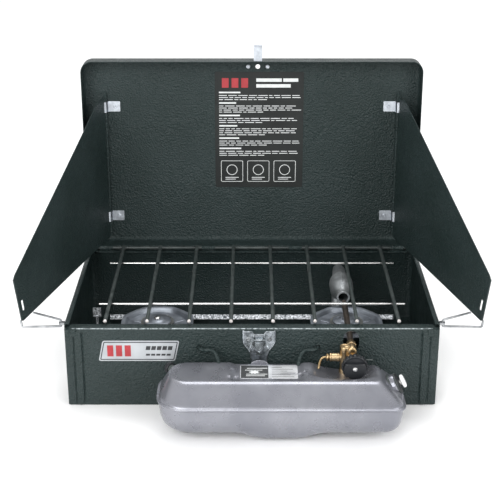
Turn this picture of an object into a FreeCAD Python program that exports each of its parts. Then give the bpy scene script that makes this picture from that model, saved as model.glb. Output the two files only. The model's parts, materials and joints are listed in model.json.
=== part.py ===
import FreeCAD, Part
import math
import os
import re

import Sketcher

# A two-burner liquid-fuel camp stove, open, in millimetres.
# X runs along the case, Y from the front to the back, +Z is up.
# The origin is the centre of the case's underside.

Vector = FreeCAD.Vector
Rotation = FreeCAD.Rotation
X_AXIS, Y_AXIS, Z_AXIS = Vector(1, 0, 0), Vector(0, 1, 0), Vector(0, 0, 1)

SIZES = {
    # case
    "case_width": 447.0,
    "case_depth": 250.0,
    "front_height": 104.0,
    "side_height": 110.0,
    "back_height": 101.9,
    "steel": 1.0,
    "rim": 6.0,
    "back_ledge": 8.0,
    "front_lip": 13.0,
    "front_gap": 1.2,
    "rib_width": 10.5,
    "rib_inset": 10.0,
    "rib_rise": 1.4,
    # opening for the generator, and the holes for the tank's hangers
    "port_x": 118.5,
    "port_z": 86.5,
    "port_radius": 9.5,
    "port_straight": 9.0,
    "hanger_left": -63.0,
    "hanger_right": 78.5,
    "hanger_z": 78.5,
    "hanger_hole": 3.6,
    # hinge of the lid
    "hinge_y": 122.8,
    "hinge_z": 106.0,
    "hinge_rod": 2.0,
    "hinge_rod_length": 430.0,
    "knuckle": 3.4,
    "knuckle_length": 18.0,
    "running_gap": 0.05,
    "rim_offset": 4.5,
    # lid, in its own frame at the hinge line
    "lid_tilt": 1.5,
    "lid_width": 450.0,
    "lid_length": 258.0,
    "lid_wall": 27.0,
    "lid_corner": 14.0,
    "decal_width": 119.0,
    "decal_height": 161.0,
    "decal_x": 10.0,
    "decal_low": 78.0,
    "foil": 0.4,
    "hasp_x": 8.0,
    "hasp_width": 11.0,
    "hasp_height": 22.0,
    "hasp_rivet_gap": 26.0,
    # windshields, measured along the sheet from the hinge pin
    "shield_pin_x": 196.0,
    "shield_pin_off": 5.0,
    "shield_pin": 1.5,
    "shield_flare": 14.5,
    "shield_sheet": 0.8,
    "shield_length": 296.0,
    "shield_lean": 16.0,
    "shield_low_back": 8.5,
    "shield_low_front": 6.0,
    "shield_high_front": 67.0,
    "shield_high_back": 206.0,
    "shield_hem": 6.0,
    "clip_low": 37.0,
    "clip_high": 192.0,
    "clip_length": 14.0,
    "clip_reach": 22.0,
    "clip_knuckle": 3.0,
    # grate
    "grate_z": 109.0,
    "bar_radius": 2.35,
    "bar_pitch": 50.2,
    "bar_front": -117.0,
    "bar_back": 120.2,
    "grate_eye": 3.6,
    "cross_radius": 1.5,
    "cross_length": 380.0,
    "cross_front": -59.0,
    "cross_back": 70.0,
    # burners
    "burner_x": 120.0,
    "burner_y": -34.0,
    "shelf_z": 48.0,
    "shelf_width": 368.0,
    "shelf_front": -108.0,
    "shelf_back": 2.0,
    "shelf_lip": 13.0,
    "leg_width": 16.0,
    "bowl_radius": 47.0,
    "bowl_foot": 24.0,
    "bowl_height": 22.0,
    "ring_radius": 21.0,
    "cap_radius": 8.0,
    "riser_radius": 8.0,
    "manifold_z": 28.0,
    "handle_x": 196.0,
    "handle_top": 88.0,
    "handle_steel": 2.4,
    "valve_barrel": 9.0,
    "valve_length": 26.0,
    # generator and mixing chamber
    "generator_x": 118.0,
    "generator_z": 86.0,
    "generator_radius": 4.0,
    "generator_tip": 2.6,
    "mouth_y": 2.0,
    "mouth_radius": 7.0,
    "bulb_radius": 15.5,
    "neck_radius": 9.0,
    # fuel tank
    "seam_z": 49.0,
    "tank_left": -108.0,
    "tank_right": 173.0,
    "tank_back": -134.0,
    "tank_front": -223.0,
    "tank_sheet": 1.2,
    "tank_flange": 4.0,
    "sump_z": 1.5,
    "hollow_x": 108.0,
    "hollow_radius": 62.0,
    "hollow_z": 57.0,
    "hollow_length": 54.0,
    "hanger_radius": 2.4,
    # valve
    "valve_x": 109.5,
    "valve_y": -145.0,
    "valve_radius": 6.0,
    "valve_top": 91.0,
    "pickup_low": 27.0,
    "stem_x": 119.5,
    "stem_z": 76.0,
    "stem_radius": 2.5,
    "knob_radius": 15.5,
    "knob_face": -177.0,
    "knob_depth": 12.0,
    "knob_grip": 4.0,
    "knob_scallop": 1.8,
    "lever_z": 76.0,
    "lever_radius": 1.6,
    "nut_length": 4.0,
    "packing_half": 5.2,
    "lever_half": 4.4,
    "pickup_radius": 3.0,
    # pump
    "pump_x": 163.0,
    "pump_y": -175.0,
    "pump_z": 54.0,
    "pump_tilt": 27.0,
    "pump_bore": 8.0,
    "pump_depth": 60.0,
    "pump_wall": 0.9,
    "pump_cap_base": 4.0,
    "pump_cap_rise": 1.5,
    "rod_bore": 1.6,
    "rod_start": 5.0,
    "rod_rise": 3.4,
    "cup_start": 6.0,
    "cup_end": 14.0,
    "air_stem_start": 2.0,
    "pump_knob_base": 3.8,
    "pump_knob_edge": 7.0,
    "pump_knob_top": 8.6,
    "collar_radius": 13.0,
    "collar_length": 8.0,
    "plunger_radius": 3.0,
    "pump_knob_radius": 7.8,
    # filler
    "filler_x": -89.0,
    "filler_y": -148.0,
    "filler_z": 58.5,
    "filler_neck": 5.2,
    "filler_reach": 10.4,
    "filler_radius": 6.8,
    "filler_cap_length": 5.5,
    "filler_cap_hollow": 3.6,
    # latch and badge
    "latch_x": 8.4,
    "latch_top": 100.4,
    "latch_bottom": 59.0,
    "latch_half": 19.0,
    "latch_foot": 9.5,
    "latch_pin_z": 90.0,
    "latch_pin": 1.2,
    "latch_arm": 9.2,
    "latch_arm_length": 19.0,
    "latch_rivet_x": 12.8,
    "badge_width": 92.0,
    "badge_height": 27.0,
    "badge_slant": 5.6,
    "badge_x": -135.5,
    "badge_z": 74.3,
    # wire bails
    "bail_wire": 1.3,
    "bail_x": 227.5,
    "bail_y": -119.0,
    "bail_low": 104.0,
    "bail_high": 112.5,
    "bail_reach": 46.5,
    "bail_arm": 5.6,
    "bail_arm_steel": 2.8,
}

doc = FreeCAD.newDocument("camp_stove")
sheet = doc.addObject("Spreadsheet::Sheet", "Sizes")
for row, (alias, number) in enumerate(SIZES.items(), start=1):
    sheet.set(f"A{row}", alias)
    sheet.set(f"B{row}", str(number))
    sheet.setAlias(f"B{row}", alias)
doc.recompute()

ALIAS = re.compile(r"\b(" + "|".join(SIZES) + r")\b")
parts = {}


def size(alias):
    """A driving dimension, read back from the sheet."""
    return float(sheet.get(alias))


def bind(thing, prop, text):
    """Tie one property to the sheet: the text names sizes as the sheet does."""
    thing.setExpression(prop, ALIAS.sub(r"Sizes.\1", str(text)))


def node(name, thing):
    """Name a finished sub-part."""
    thing.Label = name
    parts[name] = thing
    return thing


# ---------------------------------------------------------------- primitives


def place(thing, base, turn=None):
    for axis, text in zip("xyz", base):
        bind(thing, f"Placement.Base.{axis}", text)
    if turn:
        axis, angle = turn
        thing.Placement.Rotation = Rotation(axis, 1)
        bind(thing, "Placement.Rotation.Angle", angle)


def box(name, corner, length, width, height):
    thing = doc.addObject("Part::Box", name)
    bind(thing, "Length", length)
    bind(thing, "Width", width)
    bind(thing, "Height", height)
    place(thing, corner)
    return thing


TURNS = {"+z": None, "+x": (Y_AXIS, 90), "-x": (Y_AXIS, -90), "+y": (X_AXIS, -90), "-y": (X_AXIS, 90),
         "back left": (Vector(-1, -1, 0), 90)}


def rod(name, base, radius, length, along="+z"):
    thing = doc.addObject("Part::Cylinder", name)
    bind(thing, "Radius", radius)
    bind(thing, "Height", length)
    turn = TURNS[along]
    if turn:
        thing.Placement.Rotation = Rotation(*turn)
    place(thing, base)
    return thing


def fuse(name, things):
    thing = doc.addObject("Part::MultiFuse", name)
    thing.Shapes = things
    thing.Refine = True
    return thing


def cut(name, base, tools):
    thing = doc.addObject("Part::Cut", name)
    thing.Base = base
    thing.Tool = tools[0] if len(tools) == 1 else fuse(name + "_tools", tools)
    return thing


def group(name, things):
    """Identical loose pieces kept as separate solids of one sub-part."""
    thing = doc.addObject("Part::Compound", name)
    thing.Links = things
    return thing


# ------------------------------------------------------------ sketched parts


def plane_of(body, role):
    return next(item for item in body.Origin.OriginFeatures if item.Role == role)


def sketch_on(body, name, role, offset="0"):
    sketch = body.newObject("Sketcher::SketchObject", name)
    sketch.AttachmentSupport = [(plane_of(body, role), "")]
    sketch.MapMode = "FlatFace"
    bind(sketch, "AttachmentOffset.Base.z", offset)
    return sketch


def pin_point(sketch, geometry, position, x, y):
    """Hold a point of the sketch at x, y from its origin."""
    for kind, text in (("DistanceX", x), ("DistanceY", y)):
        index = sketch.addConstraint(Sketcher.Constraint(kind, -1, 1, geometry, position, 1.0))
        bind(sketch, f"Constraints[{index}]", text)


def polygon(sketch, points):
    """A closed outline of straight edges through points given as sizes."""
    first = sketch.GeometryCount
    count = len(points)
    for i in range(count):
        a, b = 2 * math.pi * i / count, 2 * math.pi * (i + 1) / count
        start = Vector(math.cos(a), math.sin(a), 0)
        end = Vector(math.cos(b), math.sin(b), 0)
        sketch.addGeometry(Part.LineSegment(start, end), False)
    for i in range(count):
        here, after = first + i, first + (i + 1) % count
        sketch.addConstraint(Sketcher.Constraint("Coincident", here, 2, after, 1))
        pin_point(sketch, here, 1, *points[i])


def circle(sketch, x, y, radius):
    index = sketch.addGeometry(Part.Circle(Vector(1, 1, 0), Z_AXIS, 1.0), False)
    pin_point(sketch, index, 3, x, y)
    tie = sketch.addConstraint(Sketcher.Constraint("Radius", index, 1.0))
    bind(sketch, f"Constraints[{tie}]", radius)


def padded(body, name, role, draw, depth, offset="0", kind="PartDesign::Pad", backwards=False):
    """Pad or pocket whatever draw puts on a new sketch."""
    sketch = sketch_on(body, name + "_outline", role, offset)
    draw(sketch)
    feature = body.newObject(kind, name)
    feature.Profile = sketch
    feature.Reversed = backwards
    bind(feature, "Length", depth)
    return feature


def plate(name, role, points, thickness, offset="0", backwards=False):
    body = doc.addObject("PartDesign::Body", name)
    padded(body, name + "_pad", role, lambda s: polygon(s, points), thickness, offset, backwards=backwards)
    return body


def turned(name, points, base, along=None):
    """A body turned about its own Z from a half section of (radius, height) points."""
    body = doc.addObject("PartDesign::Body", name)
    sketch = sketch_on(body, name + "_section", "XZ_Plane")
    polygon(sketch, points)
    feature = body.newObject("PartDesign::Revolution", name + "_turn")
    feature.Profile = sketch
    feature.ReferenceAxis = (sketch, ["V_Axis"])
    feature.Angle = 360
    if along:
        body.Placement.Rotation = Rotation(*TURNS[along])
    place(body, base)
    return body


# --------------------------------------------------- shapes made by functions


def feature(name, shape, placement=None):
    """A piece that neither a body nor a primitive suits: bent wire and pressed pans."""
    thing = doc.addObject("Part::Feature", name)
    thing.Shape = shape
    if placement:
        thing.Placement = placement
    return thing


def bent_rod(points, radius, bend):
    """Round wire along straight runs joined by tangent arcs."""
    points = [Vector(*p) for p in points]
    edges = []
    start = points[0]
    for before, corner, after in zip(points, points[1:], points[2:]):
        back = (before - corner).normalize()
        ahead = (after - corner).normalize()
        half = back.getAngle(ahead) / 2
        reach = bend / math.tan(half)
        entry, leave = corner + back * reach, corner + ahead * reach
        middle = corner + (back + ahead).normalize() * (bend / math.sin(half) - bend)
        edges.append(Part.LineSegment(start, entry).toShape())
        edges.append(Part.Arc(entry, middle, leave).toShape())
        start = leave
    edges.append(Part.LineSegment(start, points[-1]).toShape())
    path = Part.Wire(edges)
    heading = (points[1] - points[0]).normalize()
    ring = Part.Wire([Part.Circle(points[0], heading, radius).toShape()])
    shape = path.makePipeShell([ring], True, True)
    expected = math.pi * radius**2 * path.Length
    if abs(shape.Volume - expected) > 0.01 * expected:
        raise ValueError("a bent rod's volume is not its section times its length")
    return shape


def rounded_outline(left, right, front, back, corner, height):
    """A rounded rectangle as a wire at one height."""
    wire = Part.makePlane(right - left, back - front, Vector(left, front, height)).Wires[0]
    points = [v.Point for v in wire.OrderedVertexes]
    edges = []
    count = len(points)
    trimmed = []
    for i in range(count):
        here = points[i]
        to_last = (points[i - 1] - here).normalize()
        to_next = (points[(i + 1) % count] - here).normalize()
        inner = here + (to_last + to_next) * corner
        middle = inner - (to_last + to_next).normalize() * corner
        trimmed.append((here + to_last * corner, middle, here + to_next * corner))
    for i in range(count):
        edges.append(Part.Arc(*trimmed[i]).toShape())
        edges.append(Part.LineSegment(trimmed[i][2], trimmed[(i + 1) % count][0]).toShape())
    return Part.Wire(edges)


# -------------------------------------------------------------------- the case


def case_body():
    outer = box("case_outer", ("-case_width / 2", "-case_depth / 2 + steel", "0"),
                "case_width", "case_depth - steel", "side_height")
    inner = box("case_inner", ("-case_width / 2 + steel", "-case_depth / 2", "steel"),
                "case_width - 2 * steel", "case_depth - steel", "side_height")
    back = box("case_back_cut", ("-case_width / 2 + rim", "case_depth / 2 - 2 * steel", "back_height"),
               "case_width - 2 * rim", "3 * steel", "side_height")
    shell = cut("case_shell", outer, [inner, back])
    pieces = [shell]
    for side, low in (("left", "-case_width / 2"), ("right", "case_width / 2 - rim")):
        pieces.append(box(f"case_rim_{side}", (low, "-case_depth / 2 + steel", "side_height - steel"),
                          "rim", "case_depth - steel", "steel"))
    ledge = ("-case_width / 2 + steel", "case_depth / 2 - back_ledge", "back_height - steel")
    pieces.append(box("case_ledge", ledge, "case_width - 2 * steel", "back_ledge", "steel"))
    node("case_body", fuse("case_body", pieces))


def front_panel():
    body = doc.addObject("PartDesign::Body", "front_panel")
    half = "case_width / 2"

    def face(sketch):
        polygon(sketch, [(f"-{half}", "front_gap"), (half, "front_gap"),
                         (half, "front_height"), (f"-{half}", "front_height")])

    def ribs(sketch):
        for sign in (-1, 1):
            near, far = f"{sign} * ({half} - rib_inset)", f"{sign} * ({half} - rib_inset - rib_width)"
            polygon(sketch, [(near, "0"), (far, "0"), (far, "front_height"), (near, "front_height")])

    def lip(sketch):
        polygon(sketch, [(f"-{half} + rim + 1", "-case_depth / 2"), (f"{half} - rim - 1", "-case_depth / 2"),
                         (f"{half} - rim - 1", "-case_depth / 2 + front_lip"),
                         (f"-{half} + rim + 1", "-case_depth / 2 + front_lip")])

    def port(sketch):
        polygon(sketch, [("port_x - port_radius", "port_z - port_straight / 2"),
                         ("port_x + port_radius", "port_z - port_straight / 2"),
                         ("port_x + port_radius", "port_z + port_straight / 2"),
                         ("port_x - port_radius", "port_z + port_straight / 2")])

    padded(body, "front_face", "XZ_Plane", face, "steel", "case_depth / 2", backwards=True)
    padded(body, "front_ribs", "XZ_Plane", ribs, "rib_rise", "case_depth / 2")
    padded(body, "front_top_lip", "XY_Plane", lip, "steel", "front_height - steel")
    middle = "case_depth / 2 + 2"
    depth = "steel + 4"
    padded(body, "port_middle", "XZ_Plane", port, depth, middle, "PartDesign::Pocket")
    for end, sign in (("low", "-"), ("high", "+")):
        padded(body, f"port_{end}", "XZ_Plane",
               lambda s, sign=sign: circle(s, "port_x", f"port_z {sign} port_straight / 2", "port_radius"),
               depth, middle, "PartDesign::Pocket")
    for side in ("left", "right"):
        padded(body, f"hanger_hole_{side}", "XZ_Plane",
               lambda s, side=side: circle(s, f"hanger_{side}", "hanger_z", "hanger_hole"),
               depth, middle, "PartDesign::Pocket")
    node("front_panel", body)


def hinge():
    node("hinge_rod", rod("hinge_rod_bar", ("-hinge_rod_length / 2", "hinge_y", "hinge_z"),
                          "hinge_rod", "hinge_rod_length", "+x"))
    knuckles = []
    for i, x in enumerate((-200, -60, 60, 200)):
        base = (f"{x} - knuckle_length / 2", "hinge_y", "hinge_z")
        barrel = rod(f"case_knuckle_{i}", base, "knuckle", "knuckle_length", "+x")
        bore = rod(f"case_knuckle_bore_{i}", base, "hinge_rod", "knuckle_length", "+x")
        tab = box(f"case_knuckle_tab_{i}", (base[0], "hinge_y - 0.8", "back_height"),
                  "knuckle_length", "1.6", "hinge_z - back_height")
        knuckles.append(cut(f"case_knuckle_loop_{i}", fuse(f"case_knuckle_body_{i}", [barrel, tab]), [bore]))
    node("case_hinge_knuckles", group("case_hinge_knuckles", knuckles))


def burner_shelf():
    body = doc.addObject("PartDesign::Body", "burner_shelf")

    def floor(sketch):
        polygon(sketch, [("-shelf_width / 2", "shelf_front"), ("shelf_width / 2", "shelf_front"),
                         ("shelf_width / 2", "shelf_back"), ("-shelf_width / 2", "shelf_back")])
        for side in ("-", ""):
            circle(sketch, f"{side}burner_x", "burner_y", "riser_radius + 1")

    def lips(sketch):
        for low, high in (("shelf_back - steel", "shelf_back"), ("shelf_front", "shelf_front + steel")):
            polygon(sketch, [("-shelf_width / 2", low), ("shelf_width / 2", low),
                             ("shelf_width / 2", high), ("-shelf_width / 2", high)])

    padded(body, "shelf_floor", "XY_Plane", floor, "steel", "shelf_z")
    padded(body, "shelf_lips", "XY_Plane", lips, "shelf_lip", "shelf_z")
    legs = []
    for i, x in enumerate(("-shelf_width / 2", "shelf_width / 2 - steel")):
        for j, y in enumerate(("shelf_front", "shelf_back - leg_width")):
            legs.append(box(f"shelf_leg_{i}{j}", (x, y, "steel"), "steel", "leg_width", "shelf_z"))
    node("burner_shelf", fuse("burner_shelf_folded", [body] + legs))


def burner(side, sign):
    where = (f"{sign} * burner_x", "burner_y", "shelf_z + steel")
    sheet_z = "steel * 1.2"
    node(f"burner_bowl_{side}", turned(
        f"burner_bowl_{side}",
        [("riser_radius + 0.2", "0"), ("bowl_foot", "0"), ("bowl_radius - 3", "bowl_height - 2"),
         ("bowl_radius", "bowl_height - 2"), ("bowl_radius", "bowl_height - 2 + steel"),
         ("bowl_radius - 3.6", f"bowl_height - 2 + {sheet_z}"), ("bowl_foot - 0.6", sheet_z),
         ("riser_radius + 0.2", sheet_z)], where))
    rings = []
    for i in range(7):
        outer = "ring_radius" if i % 2 == 0 else "ring_radius - 1.2"
        level = f"shelf_z + steel + 8 + {1.9 * i}"
        ring = turned(f"burner_ring_{side}_{i}",
                      [("4.2", "0"), ("ring_radius - 4", "0"), (outer, "0.7"),
                       (outer, "1.5"), ("4.2", "1.5")],
                      (where[0], where[1], level))
        rings.append(ring)
    node(f"burner_rings_{side}", group(f"burner_rings_{side}", rings))
    base = turned(
        f"burner_base_{side}",
        [("0", "-9"), ("riser_radius", "-9"), ("riser_radius", "1.4"), ("ring_radius - 2", "5.5"),
         ("ring_radius - 2", "7.8"), ("4", "7.8"), ("4", "21.4"), ("0", "21.4")], where)
    cap = turned(
        f"burner_cap_{side}",
        [("2.6", "21.5"), ("ring_radius - 4", "21.5"), ("ring_radius - 5", "22.8"), ("cap_radius", "23.4"),
         ("cap_radius - 1", "24.6"), ("2.6", "24.6")], where)
    screw = turned(f"burner_screw_{side}",
                   [("0", "21.5"), ("2.4", "21.5"), ("2.4", "24.7"), ("4", "24.7"), ("3.2", "26.8"),
                    ("0", "27.2")], where)
    return base, cap, screw


def burners():
    pairs = zip(burner("left", -1), burner("right", 1))
    for name, pair in zip(("burner_bases", "burner_caps", "burner_screws"), pairs):
        node(name, group(name, pair))


def gas_path():
    node("mixing_chamber", turned(
        "mixing_chamber",
        [("mouth_radius - 1.2", "0"), ("mouth_radius + 1", "0"), ("mouth_radius + 1", "3"),
         ("mouth_radius", "5"), ("bulb_radius - 2", "18"), ("bulb_radius", "30"), ("bulb_radius", "46"),
         ("bulb_radius - 2", "58"), ("neck_radius", "70"), ("neck_radius", "84"), ("neck_radius - 1.2", "84"),
         ("neck_radius - 1.2", "70"), ("bulb_radius - 3.2", "57"), ("bulb_radius - 1.2", "46"),
         ("bulb_radius - 1.2", "30"), ("bulb_radius - 3.2", "18"), ("mouth_radius - 1.2", "5")],
        ("generator_x", "mouth_y", "generator_z"), "+y"))
    x, z = size("generator_x"), size("generator_z")
    start, low = size("mouth_y") + 84, size("manifold_z")
    route = [(x, start, z), (x, start + 20, z), (x, start + 20, low), (x, size("burner_y") + 7.7, low)]
    node("mixing_elbow", feature("mixing_elbow", bent_rod(route, size("neck_radius") - 1.5, 16)))
    half = "riser_radius - 0.5"
    bar = rod("manifold_bar", ("-burner_x - 8.5", "burner_y", "manifold_z"), half, "2 * burner_x + 17", "+x")
    risers = [rod(f"riser_{name}", (x, "burner_y", "manifold_z"), half, "shelf_z + steel - 9 - manifold_z")
              for name, x in (("left", "-burner_x"), ("right", "burner_x"))]
    node("manifold_tube", fuse("manifold_tube", [bar] + risers))


def auxiliary_valve():
    """A small valve on the manifold's left end, turned by a flat upright handle."""
    start = "-burner_x - riser_radius - 0.5"
    barrel = rod("auxiliary_valve", (start, "burner_y", "manifold_z"), "valve_barrel", "valve_length", "-x")
    node("auxiliary_valve_body", barrel)
    stem = rod("auxiliary_stem", (f"{start} - valve_length", "burner_y", "manifold_z"), "2.2",
               "handle_x - burner_x - valve_length - riser_radius", "-x")
    strip_base = ("-handle_x - handle_steel / 2", "burner_y - 3", "manifold_z - 5")
    strip = box("auxiliary_handle_strip", strip_base, "handle_steel", "6", "handle_top - manifold_z - 5")
    wing_base = ("-handle_x - 5", "burner_y - handle_steel / 2", "handle_top - 12")
    wing = box("auxiliary_handle_wing", wing_base, "10", "handle_steel", "12")
    node("auxiliary_valve_handle", fuse("auxiliary_valve_handle", [stem, strip, wing]))


# --------------------------------------------------------------------- the lid


def lid_frame():
    """Where the lid's own frame stands: on the hinge line, leaning back."""
    hinge = Vector(0, size("hinge_y"), size("hinge_z"))
    return FreeCAD.Placement(hinge, Rotation(X_AXIS, -size("lid_tilt")))


def on_lid(name, thing):
    place(thing, ("0", "hinge_y", "hinge_z"), (Vector(-1, 0, 0), "lid_tilt"))
    return node(name, thing)


def lid_tray():
    half = "lid_width / 2"
    corner = "lid_corner * 0.3"

    def outline(inset):
        low, high, side = f"{inset}", f"lid_length - {inset}", f"{half} - {inset}"
        return [(f"-({side})", low), (side, low), (side, f"{high} - lid_corner"),
                (f"{side} - {corner}", f"{high} - {corner}"), (f"{side} - lid_corner", high),
                (f"-({side}) + lid_corner", high), (f"-({side}) + {corner}", f"{high} - {corner}"),
                (f"-({side})", f"{high} - lid_corner")]

    body = doc.addObject("PartDesign::Body", "lid_tray")
    padded(body, "lid_block", "XZ_Plane", lambda s: polygon(s, outline("0")), "lid_wall",
           "-rim_offset", backwards=True)
    padded(body, "lid_hollow", "XZ_Plane", lambda s: polygon(s, outline("steel")), "lid_wall - steel + 10",
           "-rim_offset + 10", "PartDesign::Pocket")
    on_lid("lid_tray", body)


def lid_hinge():
    loops = []
    for i, x in enumerate((-152, -100, 100, 152)):
        base = (f"{x} - knuckle_length / 2", "0", "0")
        barrel = rod(f"lid_knuckle_{i}", base, "knuckle", "knuckle_length", "+x")
        tab = box(f"lid_knuckle_tab_{i}", (base[0], "0", "-1"), "knuckle_length", "rim_offset + 12", "1.0")
        bore = rod(f"lid_knuckle_bore_{i}", base, "hinge_rod + running_gap", "knuckle_length", "+x")
        loops.append(cut(f"lid_knuckle_loop_{i}", fuse(f"lid_knuckle_body_{i}", [barrel, tab]), [bore]))
    on_lid("lid_hinge_knuckles", group("lid_hinge_knuckles", loops))


def lid_trim():
    face = "rim_offset + lid_wall - steel"
    foil = box("lid_label_foil", ("decal_x - decal_width / 2", f"{face} - foil", "decal_low"),
               "decal_width", "foil", "decal_height")
    on_lid("lid_label", group("lid_label", [foil]))


def lid_hasp():
    """The strap on the lid's front wall that the case's latch pulls on."""
    left = "hasp_x - hasp_width / 2"
    strap = box("hasp_strap", (left, "rim_offset + 3", "lid_length"), "hasp_width", "lid_wall - 8", "1.2")
    post = box("hasp_post", (left, "rim_offset + 3", "lid_length"), "hasp_width", "1.2", "hasp_height")
    lip_base = (left, "rim_offset - 1", "lid_length + hasp_height - 1.2")
    lip = box("hasp_lip", lip_base, "hasp_width", "5.2", "1.2")
    on_lid("lid_hasp", fuse("lid_hasp", [strap, post, lip]))
    return [rod(f"hasp_rivet_{i}", (f"hasp_x {sign} hasp_rivet_gap / 2", "rim_offset + lid_wall - steel",
                                    "lid_length - 12"), "2.6", "1.4", "-y")
            for i, sign in enumerate(("-", "+"))]


def windshield_clips():
    """Plated knuckles riveted to the lid, two for each windshield's pin."""
    face = "rim_offset + lid_wall - steel"
    clips, rivets = [], []
    for i, (sign, low) in enumerate(((-1, "clip_low"), (-1, "clip_high"), (1, "clip_low"), (1, "clip_high"))):
        x = f"{sign} * shield_pin_x"
        base = (x, f"{face} - shield_pin_off", f"{low} - clip_length / 2")
        barrel = rod(f"clip_barrel_{i}", base, "clip_knuckle", "clip_length")
        bore = rod(f"clip_bore_{i}", base, "shield_pin + running_gap", "clip_length")
        inward = f"{x} - clip_knuckle" if sign < 0 else f"{x} - clip_reach + clip_knuckle"
        leaf = box(f"clip_leaf_{i}", (inward, f"{face} - 0.9", base[2]), "clip_reach", "0.9", "clip_length")
        web_base = (f"{x} - 0.9", f"{face} - shield_pin_off", base[2])
        web = box(f"clip_web_{i}", web_base, "1.8", "shield_pin_off", "clip_length")
        clips.append(cut(f"clip_{i}", fuse(f"clip_blank_{i}", [barrel, leaf, web]), [bore]))
        rivet_x = f"{x} + {-sign} * (clip_reach - 7)"
        rivets.append(rod(f"clip_rivet_{i}", (rivet_x, f"{face} - 0.9", low), "2.4", "1.3", "-y"))
    on_lid("windshield_clips", group("windshield_clips", clips))
    return rivets


def windshield(side, sign):
    """A sheet with a hemmed front edge, on a pin that turns in two clips."""
    body = doc.addObject("PartDesign::Body", f"windshield_{side}")
    front_low = f"{sign} * shield_length"
    front_high = f"{sign} * (shield_length + shield_lean)"
    outline = [(f"{sign} * 1", "shield_low_back"), (front_low, "shield_low_front"),
               (front_high, "shield_high_front"), (f"{sign} * 26", "shield_high_back"),
               (f"{sign} * 1", "shield_high_back")]
    hem = [(front_low, "shield_low_front"), (front_high, "shield_high_front"),
           (f"{front_high} - {sign} * shield_hem", "shield_high_front + 1"),
           (f"{front_low} - {sign} * shield_hem", "shield_low_front + 0.1")]

    def windows(sketch):
        for middle in ("clip_low", "clip_high"):
            low, high = f"{middle} - clip_length / 2 - 1", f"{middle} + clip_length / 2 + 1"
            polygon(sketch, [("-6", low), ("6", low), ("6", high), ("-6", high)])

    padded(body, f"shield_sheet_{side}", "XZ_Plane", lambda s: polygon(s, outline), "shield_sheet",
           "shield_sheet / 2", backwards=True)
    padded(body, f"shield_hem_{side}", "XZ_Plane", lambda s: polygon(s, hem), "shield_sheet * 2",
           "shield_sheet", backwards=True)
    padded(body, f"shield_windows_{side}", "XZ_Plane", windows, "4", "2", "PartDesign::Pocket",
           backwards=False)
    pin = rod(f"shield_pin_{side}", ("0", "0", "clip_low - clip_length"), "shield_pin",
              "clip_high - clip_low + 2 * clip_length")
    whole = fuse(f"windshield_whole_{side}", [body, pin])
    swing = Rotation(Z_AXIS, -sign * (90 - size("shield_flare")))
    off = size("rim_offset") + size("lid_wall") - size("steel") - size("shield_pin_off")
    hinge = Vector(sign * size("shield_pin_x"), off, 0)
    whole.Placement = lid_frame().multiply(FreeCAD.Placement(hinge, swing))
    node(f"windshield_{side}", whole)


def lid():
    lid_tray()
    lid_hinge()
    lid_trim()
    on_lid("lid_rivets", group("lid_rivets", lid_hasp() + windshield_clips()))
    windshield("left", -1)
    windshield("right", 1)


# ------------------------------------------------------------------- the grate


def grate():
    """Eight bars on two cross rods; each bar ends in an eye on the lid's hinge rod."""
    bars = []
    for i in range(8):
        x = f"({i} - 3.5) * bar_pitch"
        eye_base = (f"{x} - bar_radius", "hinge_y", "hinge_z")
        bar = rod(f"grate_bar_{i}", (x, "bar_front", "grate_z"), "bar_radius", "bar_back - bar_front", "+y")
        eye = rod(f"grate_eye_{i}", eye_base, "grate_eye", "2 * bar_radius", "+x")
        bore = rod(f"grate_bore_{i}", eye_base, "hinge_rod + running_gap", "2 * bar_radius", "+x")
        bars.append(cut(f"grate_loop_{i}", fuse(f"grate_blank_{i}", [bar, eye]), [bore]))
    node("grate_bars", group("grate_bars", bars))
    below = "grate_z - bar_radius - cross_radius + 0.1"
    rods = [rod(f"grate_rod_{name}", ("-cross_length / 2", place_y, below), "cross_radius",
                "cross_length", "+x")
            for name, place_y in (("front", "cross_front"), ("back", "cross_back"))]
    node("grate_cross_rods", group("grate_cross_rods", rods))


# -------------------------------------------------------------------- the tank

# height from the seam, then how far the front, back, left and right draw in, and the corner
UPPER_LEVELS = ((0, 0, 0, 0, 0, 32), (5, 2, 0.5, 2, 3, 31), (10, 8, 2, 6, 9, 29),
                (15, 17, 4, 13, 15, 26), (18.5, 25, 7, 19, 20, 22), (20, 31, 10, 25, 24, 18))
LOWER_LEVELS = ((0, 0, 0, 0, 0, 32), (-12, 1, 1, 1.5, 1, 31), (-24, 5, 4, 5, 5, 29),
                (-33, 12, 10, 11, 12, 26), (-39, 21, 18, 20, 22, 21), (-41, 28, 25, 29, 31, 16))


def pan(levels, shrink):
    """A pressed pan: rounded rectangles joined level by level, drawn in by shrink."""
    wires = []
    for i, (rise, front, back, left, right, corner) in enumerate(levels):
        height = size("seam_z") + rise
        if i == len(levels) - 1:
            height -= math.copysign(shrink, rise)
        wires.append(rounded_outline(size("tank_left") + left + shrink, size("tank_right") - right - shrink,
                                     size("tank_front") + front + shrink, size("tank_back") - back - shrink,
                                     corner - shrink, height))
    return Part.makeLoft(wires, True, True)


def valve_hollow(shrink):
    """The scoop that the valve and the knob stand in."""
    radius = size("hollow_radius") + shrink
    start = size("tank_back") + 6
    return Part.makeCylinder(radius, size("hollow_length") + shrink + 6,
                             Vector(size("hollow_x"), start, size("hollow_z") + size("hollow_radius")),
                             Vector(0, -1, 0))


def sump(shrink):
    """The well under the tank that it stands on when it is taken off."""
    top = rounded_outline(-24 + shrink, 98 - shrink, size("tank_front") + 14 + shrink,
                          size("tank_back") - 18 - shrink, 12, size("seam_z") - 38)
    low = rounded_outline(14 + shrink, 58 - shrink, size("tank_front") + 20 + shrink,
                          size("tank_back") - 26 - shrink, 12, size("sump_z") + shrink)
    return Part.makeLoft([top, low], True, True)


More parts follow.
